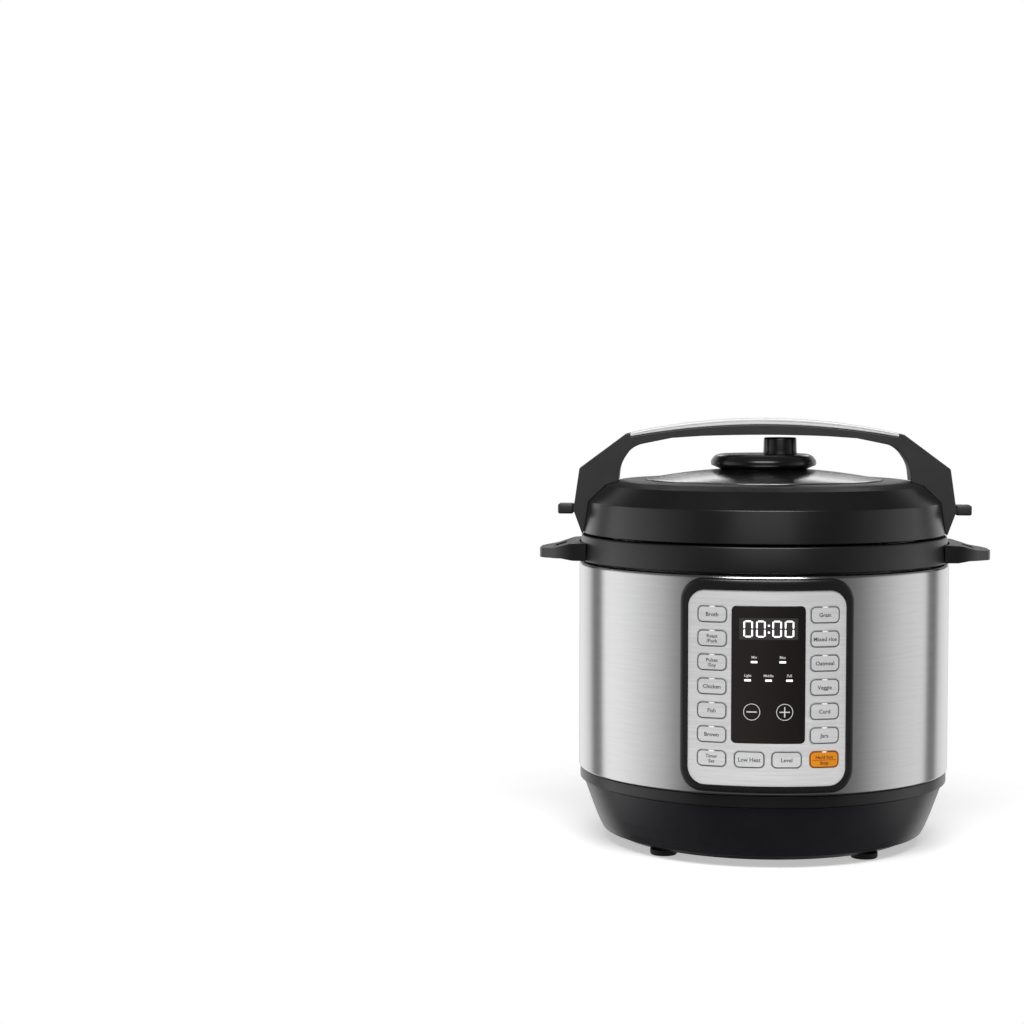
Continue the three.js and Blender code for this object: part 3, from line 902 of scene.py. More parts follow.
class Palette:
    """The cooker's materials, made once."""

    def __init__(self) -> None:
        """Make every material."""
        self.base_black = Moulded("base_black_plastic", (0.0090, 0.0086, 0.0120), 0.34, 0.03).make()
        self.lid_black = Moulded("lid_black_plastic", (0.0068, 0.0068, 0.0071), 0.29, 0.02).make()
        self.collar_black = Moulded(
            "collar_black_plastic", (0.0085, 0.0085, 0.0088), 0.33, 0.03
        ).make()
        self.knob_black = Moulded("knob_black_plastic", (0.006, 0.006, 0.0062), 0.24, 0.008).make()
        self.handle_grey = Moulded("handle_grey_plastic", (0.030, 0.030, 0.031), 0.46, 0.04).make()
        self.bezel_black = Moulded(
            "bezel_black_plastic", (0.010, 0.010, 0.0105), 0.27, 0.008
        ).make()
        self.rubber = Moulded("foot_rubber", (0.009, 0.009, 0.009), 0.75, 0.05, 1400.0).make()
        self.silicone = Moulded("ring_silicone", (0.60, 0.585, 0.55), 0.55, 0.02, 900.0).make()
        self.steel = BrushedMetal(
            "housing_brushed_steel", (0.60, 0.60, 0.605), 0.21,
            depth=0.006, contrast=0.05, streak=0.025,
        ).make()
        self.pot_steel = BrushedMetal(
            "pot_brushed_steel", (0.62, 0.615, 0.61), 0.24, depth=0.006
        ).make()
        self.pot_shell = BrushedMetal(
            "pot_shell_aluminium", (0.52, 0.52, 0.53), 0.38, contrast=0.08
        ).make()
        self.turned_steel = BrushedMetal(
            "turned_steel", (0.60, 0.60, 0.60), 0.22, Brushing.TURNED, 0.006
        ).make()
        self.fascia_silver = BrushedMetal(
            "fascia_brushed_silver", (0.86, 0.86, 0.865), 0.44, Brushing.ACROSS, 0.010, 0.14,
            metallic=0.2,
        ).make()
        self.grip_silver = BrushedMetal(
            "grip_silver", (0.88, 0.88, 0.88), 0.36, Brushing.ACROSS, 0.004, 0.05, metallic=0.08
        ).make()
        self.aluminium = BrushedMetal(
            "cast_aluminium", (0.50, 0.50, 0.51), 0.48, Brushing.TURNED, 0.02, 0.16
        ).make()
        self.polished = Polished("lid_polished_steel", (0.34, 0.34, 0.345), 0.20).make()
        # the window's right side gets a painted shade where its reflection falls off
        self.window = Gloss("smoked_window", (0.024, 0.0185, 0.0185), 0.10, right_painted_shade=0.75).make()
        self.display = Gloss("display_field", (0.055, 0.050, 0.050), 0.22).make()
        self.clear = Gloss("clear_cup", (0.75, 0.79, 0.80), 0.06, alpha=0.38).make()
        self.orange = Moulded("orange_key", (0.83, 0.275, 0.012), 0.36, 0.006).make()
        self.ink = Ink("dark_grey_ink", (0.075, 0.075, 0.078)).make()
        self.orange_ink = Ink("brown_ink", (0.13, 0.045, 0.01)).make()
        self.white_ink = Ink("white_ink", (0.80, 0.80, 0.80)).make()
        self.glow = Ink("lit_segment", (1.0, 1.0, 1.0), 0.4, glow=0.95).make()
        self.lamp = Ink("key_lamp", (0.92, 0.92, 0.92), 0.3, glow=0.25).make()
        self.board = CircuitBoard("circuit_board").make()


@dataclass
class Base:
    """Base shell with its feet and band, and the steel housing over it."""

    palette: Palette
    floor_opening: float = 92.3
    bottom: float = 4.5
    top: float = 46.8
    foot_r: float = 10.0
    foot_offset: float = 73.5
    foot_height: float = 4.2
    port_depth: tuple[float, float] = (90, 140)

    def build(self) -> None:
        """Build and dress the base."""
        self._shell()
        self._band()
        self._steel()
        self._feet()
        repaint(["bottom_cover"], self.palette.aluminium)
        repaint(["power_inlet"], self.palette.collar_black)

    def _shell(self) -> None:
        """Turn the bowl and cut the inlet's port at its back."""
        outline = rounded((
            (self.floor_opening, self.bottom), (110.5, self.bottom, 4), (118.8, 8.3, 1.2),
            (121.4, 9.0, 1.6),
            (124.5, 15.0, 12), (128.2, 24.0, 25), (136.5, self.top, 0.7), (133.5, self.top),
            (125.4, 24.0),
            (120.0, 12.0), (112.0, 7.5), (self.floor_opening, 7.5),
        ))
        shell = Bench.turned("base_bowl", outline, 160)
        low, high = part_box("power_inlet")
        near, far = low / MM, high / MM
        near.y, far.y = self.port_depth
        room = Vector((PORT_GAP, 0, PORT_GAP))
        shell = Bench.cut(shell, Bench.block("port", near - room, far + room))
        dress(shell, self.palette.base_black, "housing", ["base_shell"])

    def _band(self) -> None:
        """Turn the band between base and steel."""
        places = ((134.5, 47.2), (139.0, 47.2, 0.8), (139.0, 55.8, 0.8), (134.5, 55.8))
        band = Bench.turned("base_band_ring", rounded(places), 160)
        dress(band, self.palette.collar_black, "housing", ["base_band"])

    def _steel(self) -> None:
        """Turn the sheet housing, rolled in at both edges."""
        low, high, r, inner = 56.0, 212.6, BODY_R, BODY_R - 0.8
        outline = rounded((
            (137.2, low), (r, low, 2.4), (r, high, 2.8), (126.0, high), (126.0, high - 0.8),
            (inner, high - 0.8), (inner, low + 0.8), (137.2, low + 0.8),
        ), steps=8)
        steel = Bench.turned("steel_sheet_housing", outline, 192, angle=50)
        dress(steel, self.palette.steel, "housing", ["steel_housing"])

    def _feet(self) -> None:
        """Turn one ringed foot and copy it to the four places."""
        r, height = self.foot_r, self.foot_height
        outline = rounded((
            (0, 0), (r - 0.7, 0, 0.6), (r, 1.2, 0.4), (r, height, 0.2), (0, height),
        ), closed=False)
        for side_y, end in ((-1, "front"), (1, "rear")):
            for side_x, side in ((-1, "left"), (1, "right")):
                centre = (side_x * self.foot_offset, side_y * self.foot_offset)
                foot = Bench.turned(f"rubber_foot_{end}_{side}", outline, 40, centre)
                dress(foot, self.palette.rubber, "housing", [f"foot_{end}_{side}"])


@dataclass
class Collar:
    """Upper collar and its two carrying handles."""

    palette: Palette
    low: float = 214.0
    high: float = 232.8
    low_r: float = 140.0
    high_r: float = 138.3
    inner_r: float = 128.0
    reach: float = 170.0
    root_half: float = 45.0
    slot: tuple[float, float, float] = (150.0, 158.5, 11.0)

    def build(self) -> None:
        """Build and dress the collar and handles."""
        outline = rounded((
            (self.low_r - 3, self.low), (self.low_r, self.low, 1.0), (self.high_r, self.high, 1.4),
            (self.inner_r, self.high, 0.6), (self.inner_r, self.high - 3),
            (self.high_r - 3, self.high - 3),
        ))
        ring = Bench.turned("collar_ring", outline, 160)
        dress(ring, self.palette.collar_black, "housing", ["upper_collar"])
        for side, name in ((-1, "left"), (1, "right")):
            handle = self._handle(f"carrying_handle_{name}", side)
            nodes = [f"side_handle_{name}"]
            dress(handle, self.palette.collar_black, "housing", nodes)

    def _handle(self, name: str, side: int) -> Piece:
        """Return one handle: its plan and its side outline meet, and a slot goes through it."""
        half, reach = self.root_half, self.reach
        plan = rounded((
            (120, AXIS_Y - half), (reach - 19, AXIS_Y - half + 4, 30), (reach, AXIS_Y - 17, 22),
            (reach, AXIS_Y + 17, 22), (reach - 19, AXIS_Y + half - 4, 30), (120, AXIS_Y + half),
        ), steps=10)
        blank = Bench.plan_of(name, plan, 200.0, 40.0)
        profile = rounded((
            (120, 214.6), (143.5, 214.6, 6), (152.0, 215.9, 10), (reach + 4, 215.3),
            (reach + 4, 221.8),
            (158.0, 223.6, 20), (146.0, 227.2, 12), (120, 228.6),
        ), steps=6)
        side_cut = Bench.sheet_of("profile", profile, AXIS_Y - half - 5, 2 * half + 10)
        grip = Bench.cut(blank, side_cut, keep="INTERSECT")
        slot = Bench.plan_of("slot", self._slot(), 190.0, 60.0)
        body = Bench.drill(BODY_R + 0.15, 190, 250, steps=160)
        grip = Bench.soften(Bench.cut(grip, body, slot), 1.3, 3)
        if side < 0:
            Bench.pick(grip)
            axis = (0, AXIS_Y * MM, 0)
            bpy.ops.transform.rotate(value=math.pi, orient_axis="Z", center_override=axis)
            bpy.ops.object.transform_apply(location=True, rotation=True, scale=True)
        return grip

    def _slot(self) -> list[Point]:
        """Return the slot's plan outline."""
        near, far, half = self.slot
        low, high = AXIS_Y - half, AXIS_Y + half
        return rounded(((near, low, 2), (far, low, 2), (far, high, 2), (near, high, 2)))


@dataclass
class Lid:
    """Lid cover, top plate, arched handle, valve and float."""

    palette: Palette
    depth: float = 32.0
    plate_r: float = 89.0
    plate_edge: float = 275.0
    plate_rise: float = 8.5
    plate_hole: float = 34.0
    side: Sequence[tuple[float, ...]] = (
        (137.0, 234.3, 0.7), (133.4, 258.0, 1.4), (120.4, 270.6, 1.6), (110.0, 273.9, 6),
        (98.0, 274.8, 5),
    )

    def build(self) -> None:
        """Build and dress the lid."""
        palette = self.palette
        dress(self._cover(), palette.lid_black, "lid", ["lid_cover"])
        dress(self._plate(), palette.polished, "lid", ["lid_top_plate"])
        dress(self._handle(), palette.handle_grey, "lid", ["lid_handle"])
        dress(self._grip(), palette.grip_silver, "lid", ["handle_grip_cover"])
        self._fins()
        self._valve()
        self._float()
        repaint(["anti_block_shield", "ring_rack", "steam_pipe"], palette.turned_steel)
        repaint(["float_seal"], palette.silicone)

    def _cover(self) -> Piece:
        """Return the turned cover with its holes for the steam pipe and the float."""
        edge = self.plate_r + 0.6
        outline = rounded((
            (0, 269.4), (117.5, 267, 5), (130.4, 256.5, 4), (134, 234.3),
            *self.side, (edge, 274.2, 0.5),
            (edge, 272.2), (0, 272.2),
        ), closed=False, steps=7)
        cover = Bench.turned("lid_shell", outline, 192)
        return Bench.cut(cover, Bench.drill(6, 260, 280), Bench.drill(5, 260, 280, (0, FLOAT_Y)))

    def _plate(self) -> Piece:
        """Return the domed plate with a rolled edge."""
        steps, thick, edge_round = 14, 0.9, 0.4
        outer, low = self.plate_r, self.plate_edge
        top = []
        for step in range(steps + 1):
            r = outer + (self.plate_hole - outer) * step / steps
            top.append((r, low + self.plate_rise * (1 - (r / outer) ** 2)))
        under = [(r, z - thick) for r, z in top[1:]]
        edge = rounded(
            (under[0], (outer, low - thick, edge_round), (outer, low, edge_round), top[1]),
            closed=False,
        )
        outline = [*under[::-1], *edge[1:-1], *top[1:]]
        plate = Bench.turned("lid_dome_plate", outline, 192)
        return Bench.cut(plate, Bench.drill(6, 260, 300, (0, FLOAT_Y), 40))

    @staticmethod
    def _arch(half: float, top: float, drop: float, steps: int) -> list[Point]:
        """Return points on a shallow arch from its left to its right end.

        Args:
            half: half its width.
            top: the height of its middle.
            drop: how much lower its ends are.
            steps: how many edges it has.

        Returns:
            The points.
        """
        places = [half * (2 * step / steps - 1) for step in range(steps + 1)]
        return [(x, top - drop * (x / half) ** 2) for x in places]

    def _handle(self) -> Piece:
        """Return the arched handle, cut to sit on the lid."""
        side = (
            (101.3, 310.0, 0.4), (105.0, 309.1, 1.5), (139.6, 283.3, 2.5), (144.2, 251.5, 2),
            (137.6, 233.6, 0.6), (110.0, 233.6),
            (110.0, 275.0), (108.7, 286.4, 45), (99.4, 300.3, 32), (69.6, 306.4, 150),
        )
        right = rounded(side, closed=False, steps=8)
        left = [(-x, z) for x, z in reversed(right)]
        under = self._arch(48.0, 308.9, 1.0, 8)[::-1]
        outline = [*self._arch(101.3, 316.4, 9.36, 40), *right, *under, *left]
        blank = Bench.sheet_of("arched_handle", outline, AXIS_Y - self.depth / 2, self.depth)
        blank = Bench.soften(blank, 1.6, 3)
        room = [(r + LID_GAP, z + LID_GAP) for r, z, _ in self.side]
        below = (room[0][0] + 0.4, 225)
        tool = Bench.turned("lid_room", [(0, 225), below, *room, (0, room[-1][1])], 160)
        return Bench.cut(blank, tool)

    def _grip(self) -> Piece:
        """Return the silver grip cover with a line along each side."""
        top = self._arch(101.0, 321.25, 11.0, 40)
        under = self._arch(101.0, 316.7, 9.3, 40)[::-1]
        front = AXIS_Y - self.depth / 2
        cover = Bench.sheet_of("grip_cover", [*top, *under], front, self.depth)
        cover = Bench.soften(cover, 0.7, 3)
        line = [*self._arch(97.0, 319.5, 9.6, 40), *self._arch(97.0, 318.8, 9.2, 40)[::-1]]
        grooves = [
            Bench.sheet_of("groove", line, y, 1.2)
            for y in (front - 0.7, front + self.depth - 0.5)
        ]
        return Bench.cut(cover, *grooves)

    def _fins(self) -> None:
        """Build the two fins that stand in the side handles' slots when the lid is parked."""
        for name in ("left", "right"):
            low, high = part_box(f"lid_fin_{name}")
            fin = Bench.block(f"parking_fin_{name}", low / MM, high / MM, 1.4)
            dress(fin, self.palette.handle_grey, "lid", [f"lid_fin_{name}"])

    def _valve(self) -> None:
        """Build the wide dial and its off-centre knob."""
        dial = Bench.turned("release_dial", rounded((
            (0, 290), (6.5, 290), (6.5, 282.4), (32, 282.4, 4), (39.4, 285.6, 0.8),
            (40, 286.6, 0.8), (40, 289.0, 3),
            (37.2, 292.6, 4), (34.0, 294.0, 3), (0, 294),
        ), closed=False, steps=7), 128)
        dress(dial, self.palette.knob_black, "steam_valve", ["steam_dial"])
        low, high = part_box("steam_knob")
        centre = ((low.x + high.x) / 2 / MM, 0)
        knob = Bench.turned("release_knob", rounded((
            (0, 294.05), (13.1, 294.05, 0.4), (12.6, 296.4, 2), (12.4, 306.6, 1.5), (0, 306.6),
        ), closed=False, steps=7), 72, centre)
        dress(knob, self.palette.knob_black, "steam_valve", ["steam_knob"])

    def _float(self) -> None:
        """Build the float pin with a dished head."""
        pin = Bench.turned("float_pin", rounded((
            (0, 228), (2.5, 228, 0.6), (2.5, 275.2), (4.5, 275.2, 0.2), (4.5, 279, 0.9),
            (2.2, 279, 0.4),
            (1.8, 278.5), (0, 278.4),
        ), closed=False), 32, (0, FLOAT_Y))
        dress(pin, self.palette.turned_steel, "float", ["float_valve"])


class Mark(Enum):
    """What is printed round a key's face."""

    LAMP = "an outline with a gap for the key's lamp"
    CLOSED = "a closed outline"


@dataclass(frozen=True)
class Key:
    """One oblong key: its node, words and outline."""

    node: str
    words: str
    mark: Mark = Mark.LAMP
    split: bool = False


@dataclass
class Panel:
    """Curved control panel: bezel, fascia, window, keys, lamps and printing.

    Everything is modelled flat and then bent round the cooker, so X is a length along the
    fascia's surface and Y is the depth behind it.
    """

    palette: Palette
    bezel_half: float = 63.6
    bezel_low: float = 58.7
    bezel_high: float = 210.9
    bezel_corner: float = 17.0
    bezel_depth: tuple[float, float] = (-0.95, 4.6)
    bezel_slope: float = 3.1
    fascia_half: float = 57.15
    fascia_low: float = 63.8
    fascia_high: float = 202.7
    fascia_corner: float = 12.5
    window_x: float = 0.9
    window_half: float = 26.05
    window_low: float = 94.4
    window_high: float = 191.6
    window_corner: float = 3.2
    key_half: tuple[float, float] = (10.8, 6.0)
    key_corner: float = 3.6
    round_key_r: float = 6.1
    circle_r: float = 5.95
    circle_line: float = 0.5
    line: float = 0.72
    gap: float = 0.22
    digit: tuple[float, float] = (6.7, 12.0)
    lit_depth: tuple[float, float] = (0.05, 0.4)
    sign_depth: tuple[float, float] = (0.04, 0.3)
    keys: Sequence[Key] = field(default_factory=lambda: (
        Key("key_left_1", "Broth"), Key("key_left_2", "Roast\n/Pork"),
        Key("key_left_3", "Pulses\n/Soy"),
        Key("key_left_4", "Chicken"), Key("key_left_5", "Fish"), Key("key_left_6", "Brown"),
        Key("key_left_7", "Timer\nSet"), Key("key_right_1", "Grain"),
        Key("key_right_2", "Mixed rice"),
        Key("key_right_3", "Oatmeal"), Key("key_right_4", "Veggie"), Key("key_right_5", "Curd"),
        Key("key_right_6", "Jars"), Key("key_middle_left", "Low Heat", Mark.CLOSED),
        Key("key_middle_right", "Level", Mark.CLOSED),
        Key("key_right_7", "Hold hot\nStop", Mark.LAMP, True),
    ))

    def build(self) -> None:
        """Build and dress the panel."""
        palette = self.palette
        dress(self._bezel(), palette.bezel_black, "housing", ["panel_bezel"])
        dress(self._fascia(), palette.fascia_silver, "housing", ["control_fascia"])
        dress(self._window(), palette.window, "housing", ["display_window"])
        self._clock()
        self._levels()
        for key in self.keys:
            self._key(key)
        for node, sign in (("key_minus", False), ("key_plus", True)):
            self._round_key(node, sign)

    @staticmethod
    def centre_of(node: str) -> Point:
        """Return a key's place: its length along the fascia's surface and its height."""
        low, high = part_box(node)
        middle = (low + high) / 2 / MM
        angle = math.atan2(middle.x, AXIS_Y - middle.y)
        return FASCIA_R * angle, middle.z

    def _bezel(self) -> Piece:
        """Return the frame, its outer edge sloped up from the steel."""
        middle = (self.bezel_low + self.bezel_high) / 2
        half_height = (self.bezel_high - self.bezel_low) / 2
        outline = round_rect(0, middle, self.bezel_half, half_height, self.bezel_corner, 14)
        front, back = self.bezel_depth
        bezel = slab("panel_frame", outline, front, back)
        Bench.edit(bezel)
        Bench.choose_edges(bezel, lambda point: abs(point.y - front) < TOUCHING)
        bpy.ops.mesh.bevel(offset=self.bezel_slope * MM, segments=5, profile=0.62, affect="EDGES")
        opening = slab("opening", self._fascia_outline(0.3), -6.0, 9.0)
        return Bench.wrapped(Bench.cut(Bench.finish_shell(bezel), opening))

    def _fascia_outline(self, grown: float) -> list[Point]:
        """Return the fascia's outline, grown outward."""
        middle = (self.fascia_low + self.fascia_high) / 2
        half_height = (self.fascia_high - self.fascia_low) / 2
        half_width, corner = self.fascia_half + grown, self.fascia_corner + grown
        return round_rect(0, middle, half_width, half_height + grown, corner, 12)

    def _window_outline(self, grown: float) -> list[Point]:
        """Return the window's outline, grown outward."""
        middle = (self.window_low + self.window_high) / 2
        half_height = (self.window_high - self.window_low) / 2
        half_width, corner = self.window_half + grown, self.window_corner + grown
        return round_rect(self.window_x, middle, half_width, half_height + grown, corner)

    def _key_outline(self, node: str, grown: float) -> list[Point]:
        """Return an oblong key's outline, grown outward."""
        x, z = self.centre_of(node)
        half_width, half_height = self.key_half
        return round_rect(x, z, half_width + grown, half_height + grown, self.key_corner + grown)

    def _disc(self, node: str, radius: float) -> list[Point]:
        """Return a circle's outline round a round key's centre."""
        return round_rect(*self.centre_of(node), radius, radius, radius - 0.02, 12)

    def _fascia(self) -> Piece:
        """Return the silver plate with openings for the window and the oblong keys."""
        plate = slab("fascia_plate", self._fascia_outline(0.0), 0.0, 1.5)
        holes = [self._window_outline(0.2)]
        holes += [self._key_outline(key.node, self.gap) for key in self.keys]
        cutter = Bench.join(*(slab("hole", hole, *HOLE_CUT) for hole in holes))
        return Bench.wrapped(Bench.soften(Bench.cut(plate, cutter), 0.16, 2))

    def _window(self) -> Piece:
        """Return the smoked window with holes for the two round keys."""
        pane = slab("display_pane", self._window_outline(0.0), 0.18, 1.5)
        holes = [self._disc(node, self.round_key_r + 0.2) for node in ("key_minus", "key_plus")]
        cutter = Bench.join(*(slab("hole", hole, *HOLE_CUT) for hole in holes))
        return Bench.wrapped(Bench.soften(Bench.cut(pane, cutter), 0.12, 2))

    @staticmethod
    def _printed(
        name: str, parts: Sequence[Piece], ink: Material, body: str, slot: str = "smoked_window"
    ) -> None:
        """Join flat parts into one piece, bend it round the cooker and dress it.

        Args:
            name: the piece's name.
            parts: the flat parts.
            ink: their material.
            body: the body that they ride on.
            slot: not used.
        """
        piece = Bench.join(*parts)
        piece.name = piece.data.name = name
        dress(Bench.wrapped(piece), ink, body)

    def _clock(self) -> None:
        """Build the lighter field and the four lit noughts with their colon."""
        x, z = self.window_x, 175.6
        field_plate = slab("clock_field", round_rect(x, z, 20.7, 7.6, 0.8), 0.12, 0.5)
        dress(Bench.wrapped(field_plate), self.palette.display, "housing")
        width, height = self.digit
        places = (-14.4, -5.5, 5.9, 14.6)
        parts = [bar for place in places for bar in self._nought(x + place, z, width, height)]
        for dot in (-2.4, 2.4):
            parts.append(slab("dot", round_rect(x + 0.15, z + dot, 0.7, 0.7, 0.3), *self.lit_depth))
        self._printed("clock_digits", parts, self.palette.glow, "housing")

    def _nought(self, x: float, z: float, width: float, height: float) -> list[Piece]:
        """Return the six lit bars of a seven-segment nought.

        Args:
            x, z: its centre.
            width, height: its size.

        Returns:
            The bars, four upright and two level.
        """
        bar, gap = 1.15, 0.28
        half, quarter = width / 2 - bar / 2, height / 4
        long, short = height / 2 - bar / 2 - gap, width - 2 * bar - gap

        def hexagon(cx: float, cz: float, length: float, upright: bool) -> Piece:
            """Return one pointed bar."""
            ends = [(length / 2 + bar / 2, 0), (length / 2, bar / 2), (-length / 2, bar / 2)]
            points = ends + [(-u, -v) for u, v in ends]
            if upright:
                points = [(v, u) for u, v in points]
            return slab("bar", [(cx + u, cz + v) for u, v in points], *self.lit_depth)

        upright = [
            hexagon(x + side * half, z + end * (quarter - bar / 8), long - bar, True)
            for side in (-1, 1) for end in (-1, 1)
        ]
        flat = [
            hexagon(x, z + end * (height / 2 - bar / 2), short - bar / 2, False) for end in (-1, 1)
        ]
        return upright + flat

    def _levels(self) -> None:
        """Build the five level lamps and the small words over them."""
        rows = (
            (152.2, ((-10.1, "Min"), (10.0, "Max"))),
            (139.2, ((-14.6, "Light"), (0.1, "Middle"), (14.8, "Full"))),
        )
        lamps, words = [], []
        for z, entries in rows:
            for x, word in entries:
                middle = self.window_x + x
                outline = round_rect(middle, z, 2.3, 0.72, 0.3)
                lamps.append(slab("lamp", outline, *self.lit_depth))
                words.append(letters("word", word, middle, z + 3.3, 2.6, 0.1))
        self._printed("level_lamps", lamps, self.palette.glow, "housing")
        self._printed("level_words", words, self.palette.white_ink, "housing")

    def _key(self, key: Key) -> None:
        """Build an oblong key's pad, its printing and its lamp."""
        palette = self.palette
        x, z = self.centre_of(key.node)
        is_orange = key.split
        slot = "key_orange" if is_orange else "silver_paint"
        pad = slab(f"{key.node}_pad", self._key_outline(key.node, 0.0), -0.12, PAD_BACK)
        pad = Bench.wrapped(Bench.soften(pad, 0.14, 2))
        face = palette.orange if is_orange else palette.fascia_silver
        dress(pad, face, key.node, [key.node])

        ring = self._ring(f"{key.node}_print", x, z)
        if key.mark is Mark.LAMP:
            notch = Bench.block("notch", (x - 2.2, -2, z + 3), (x + 2.2, 2, z + 8))
            ring = Bench.cut(ring, notch)
        parts = [ring]
        if is_orange:
            parts.append(slab("rule", round_rect(x, z - 0.4, 8.6, 0.16, 0.05), -0.15, 0.0))
        lines = key.words.split("\n")
        size = 4.0 if len(lines) == 1 else 3.5
        offsets = (-0.3,) if len(lines) == 1 else (1.45, -2.1)
        if is_orange:
            offsets = (1.5, -2.6)
        for line, offset in zip(lines, offsets):
            parts.append(letters("word", line, x, z + offset, size, -0.16))
        ink = palette.orange_ink if is_orange else palette.ink
        self._printed(f"{key.node}_print", parts, ink, key.node, slot)
        if key.mark is Mark.LAMP:
            outline = round_rect(x, z + self.key_half[1] - 0.65, 1.45, 0.42, 0.3)
            lamp = slab(f"{key.node}_lamp", outline, -0.18, 0.0)
            dress(Bench.wrapped(lamp), palette.lamp, key.node)

    def _ring(self, name: str, x: float, z: float) -> Piece:
        """Return the thin line printed just inside an oblong key's edge."""
        half_width, half_height = (half - 0.15 for half in self.key_half)
        line, corner = self.line, self.key_corner
        outer = slab(name, round_rect(x, z, half_width, half_height, corner), -0.155, 0.0)
        inner = round_rect(x, z, half_width - line, half_height - line, corner - line)
        return Bench.cut(outer, slab("inner", inner, *RING_CUT))

    def _round_key(self, node: str, is_plus: bool) -> None:
        """Build a round key with its white circle and sign."""
        x, z = self.centre_of(node)
        disc = slab(f"{node}_disc", self._disc(node, self.round_key_r), 0.1, PAD_BACK)
        disc = Bench.wrapped(Bench.soften(disc, 0.12, 2))
        dress(disc, self.palette.window, node, [node])
        front, back = self.sign_depth
        outer = slab(f"{node}_sign", self._disc(node, self.circle_r), front, back)
        inner = slab("inner", self._disc(node, self.circle_r - self.circle_line), *RING_CUT)
        bars = [round_rect(x, z, 3.7, 0.42, 0.15)]
        if is_plus:
            bars += [round_rect(x, z + end * 2.06, 0.42, 1.64, 0.15) for end in (-1, 1)]
        parts = [Bench.cut(outer, inner), *(slab("bar", bar, front, back) for bar in bars)]
        self._printed(f"{node}_sign", parts, self.palette.white_ink, node)


@dataclass
class Insides:
    """What shows when the lid is off, and the parts inside the housing."""

    palette: Palette
    lug_count: int = 6
    lug_half: float = 8.0

    def build(self) -> None:
        """Build the pots, the lid's inner side and the seal, and finish the CAD nodes that stay."""
        palette = self.palette
        dress(self._inner_pot(), palette.pot_steel, "housing", ["inner_pot"])
        dress(self._outer_pot(), palette.pot_shell, "housing", ["outer_pot"])
        dress(self._pressure_lid(), palette.turned_steel, "lid", ["pressure_lid"])
        dress(self._seal(), palette.silicone, "seal", ["sealing_ring"])
        repaint(["sensor_bracket", "sensor_spring"], palette.turned_steel)
        repaint(["heating_plate", "temperature_sensor"], palette.aluminium)
        repaint(["power_board", "control_board"], palette.board)
        repaint(["pressure_switch", "collector_bracket"], palette.collar_black)
        repaint(["condensation_cup"], palette.clear)

    @staticmethod
    def _inner_pot() -> Piece:
        """Return the removable pot with a flat rim and two embossed level rings."""
        rings = [
            place for z in (185.0, 125.0)
            for place in ((110, z + 1.2, 0.3), (109.6, z, 0.5), (110, z - 1.2, 0.3))
        ]
        outline = rounded((
            (0, 65.3), (111, 65.3, 9.2), (111, 220.4), (120, 220.4, 0.6), (120, 221.8, 0.6),
            (110, 221.8, 1.3),
            *rings, (110, 66.3, 8.2), (0, 66.3),
        ), closed=False, steps=7)
        return Bench.turned("cooking_pot", outline, 160)

    def _lugs(
        self, inner: float, outer: float, low: float, height: float, turn: float
    ) -> list[Piece]:
        """Return the locking tabs round a ring.

        Args:
            inner, outer: the tabs' radii.
            low, height: where they start and how tall they are.
            turn: the first tab's angle in degrees.

        Returns:
            The tabs, each a piece.
        """
        tabs = []
        for place in range(self.lug_count):
            angle = math.radians(turn + 360 * place / self.lug_count)
            along = Vector((math.cos(angle), math.sin(angle)))
            across = along.orthogonal()
            corners = ((inner, -1), (outer, -1), (outer, 1), (inner, 1))
            points = [along * r + across * side * self.lug_half for r, side in corners]
            outline = [(point.x, point.y + AXIS_Y) for point in points]
            tabs.append(Bench.plan_of("lug", outline, low, height))
        return tabs

    def _outer_pot(self) -> Piece:
        """Return the pressure-bearing pot with the tabs that lock the lid."""
        outline = rounded((
            (80, 50), (115, 50, 4.4), (115, 218.8), (127, 218.8, 0.8), (127, 230.8, 0.4),
            (126, 230.8, 0.4),
            (126, 219.8, 0.5), (114, 219.8, 0.8), (114, 51, 3.6), (80, 51),
        ))
        shell = Bench.turned("pressure_pot", outline, 160)
        return Bench.join(shell, *self._lugs(123.5, 126.4, 229.6, 1.1, 30))

    def _pressure_lid(self) -> Piece:
        """Return the steel inner lid with its tabs and the holes for pipe and float."""
        outline = rounded((
            (0, 236.4), (112.5, 236.4, 4), (119.8, 232.8, 2), (119.8, 227.2), (121, 227.2, 0.4),
            (121, 233.2, 3),
            (112.5, 237.6, 4), (0, 237.6),
        ), closed=False)
        shell = Bench.turned("pressure_disc", outline, 160)
        pipe, hole = Bench.drill(5.3, 226, 248), Bench.drill(3, 226, 248, (0, FLOAT_Y))
        return Bench.join(Bench.cut(shell, pipe, hole), *self._lugs(120.4, 122.25, 227.25, 1.9, 0))

    @staticmethod
    def _seal() -> Piece:
        """Return the seal, a channel that opens upward with a soft lip outside."""
        outline = rounded((
            (109, 222.9, 0.5), (117, 222.9, 0.8), (118, 224.9, 0.8), (118, 231.5, 0.5),
            (116.4, 231.5, 0.4),
            (116, 225.9, 0.6), (111, 225.9, 0.6), (110.6, 231.5, 0.4), (109, 231.5, 0.5),
        ))
        return Bench.turned("lid_seal_ring", outline, 160)


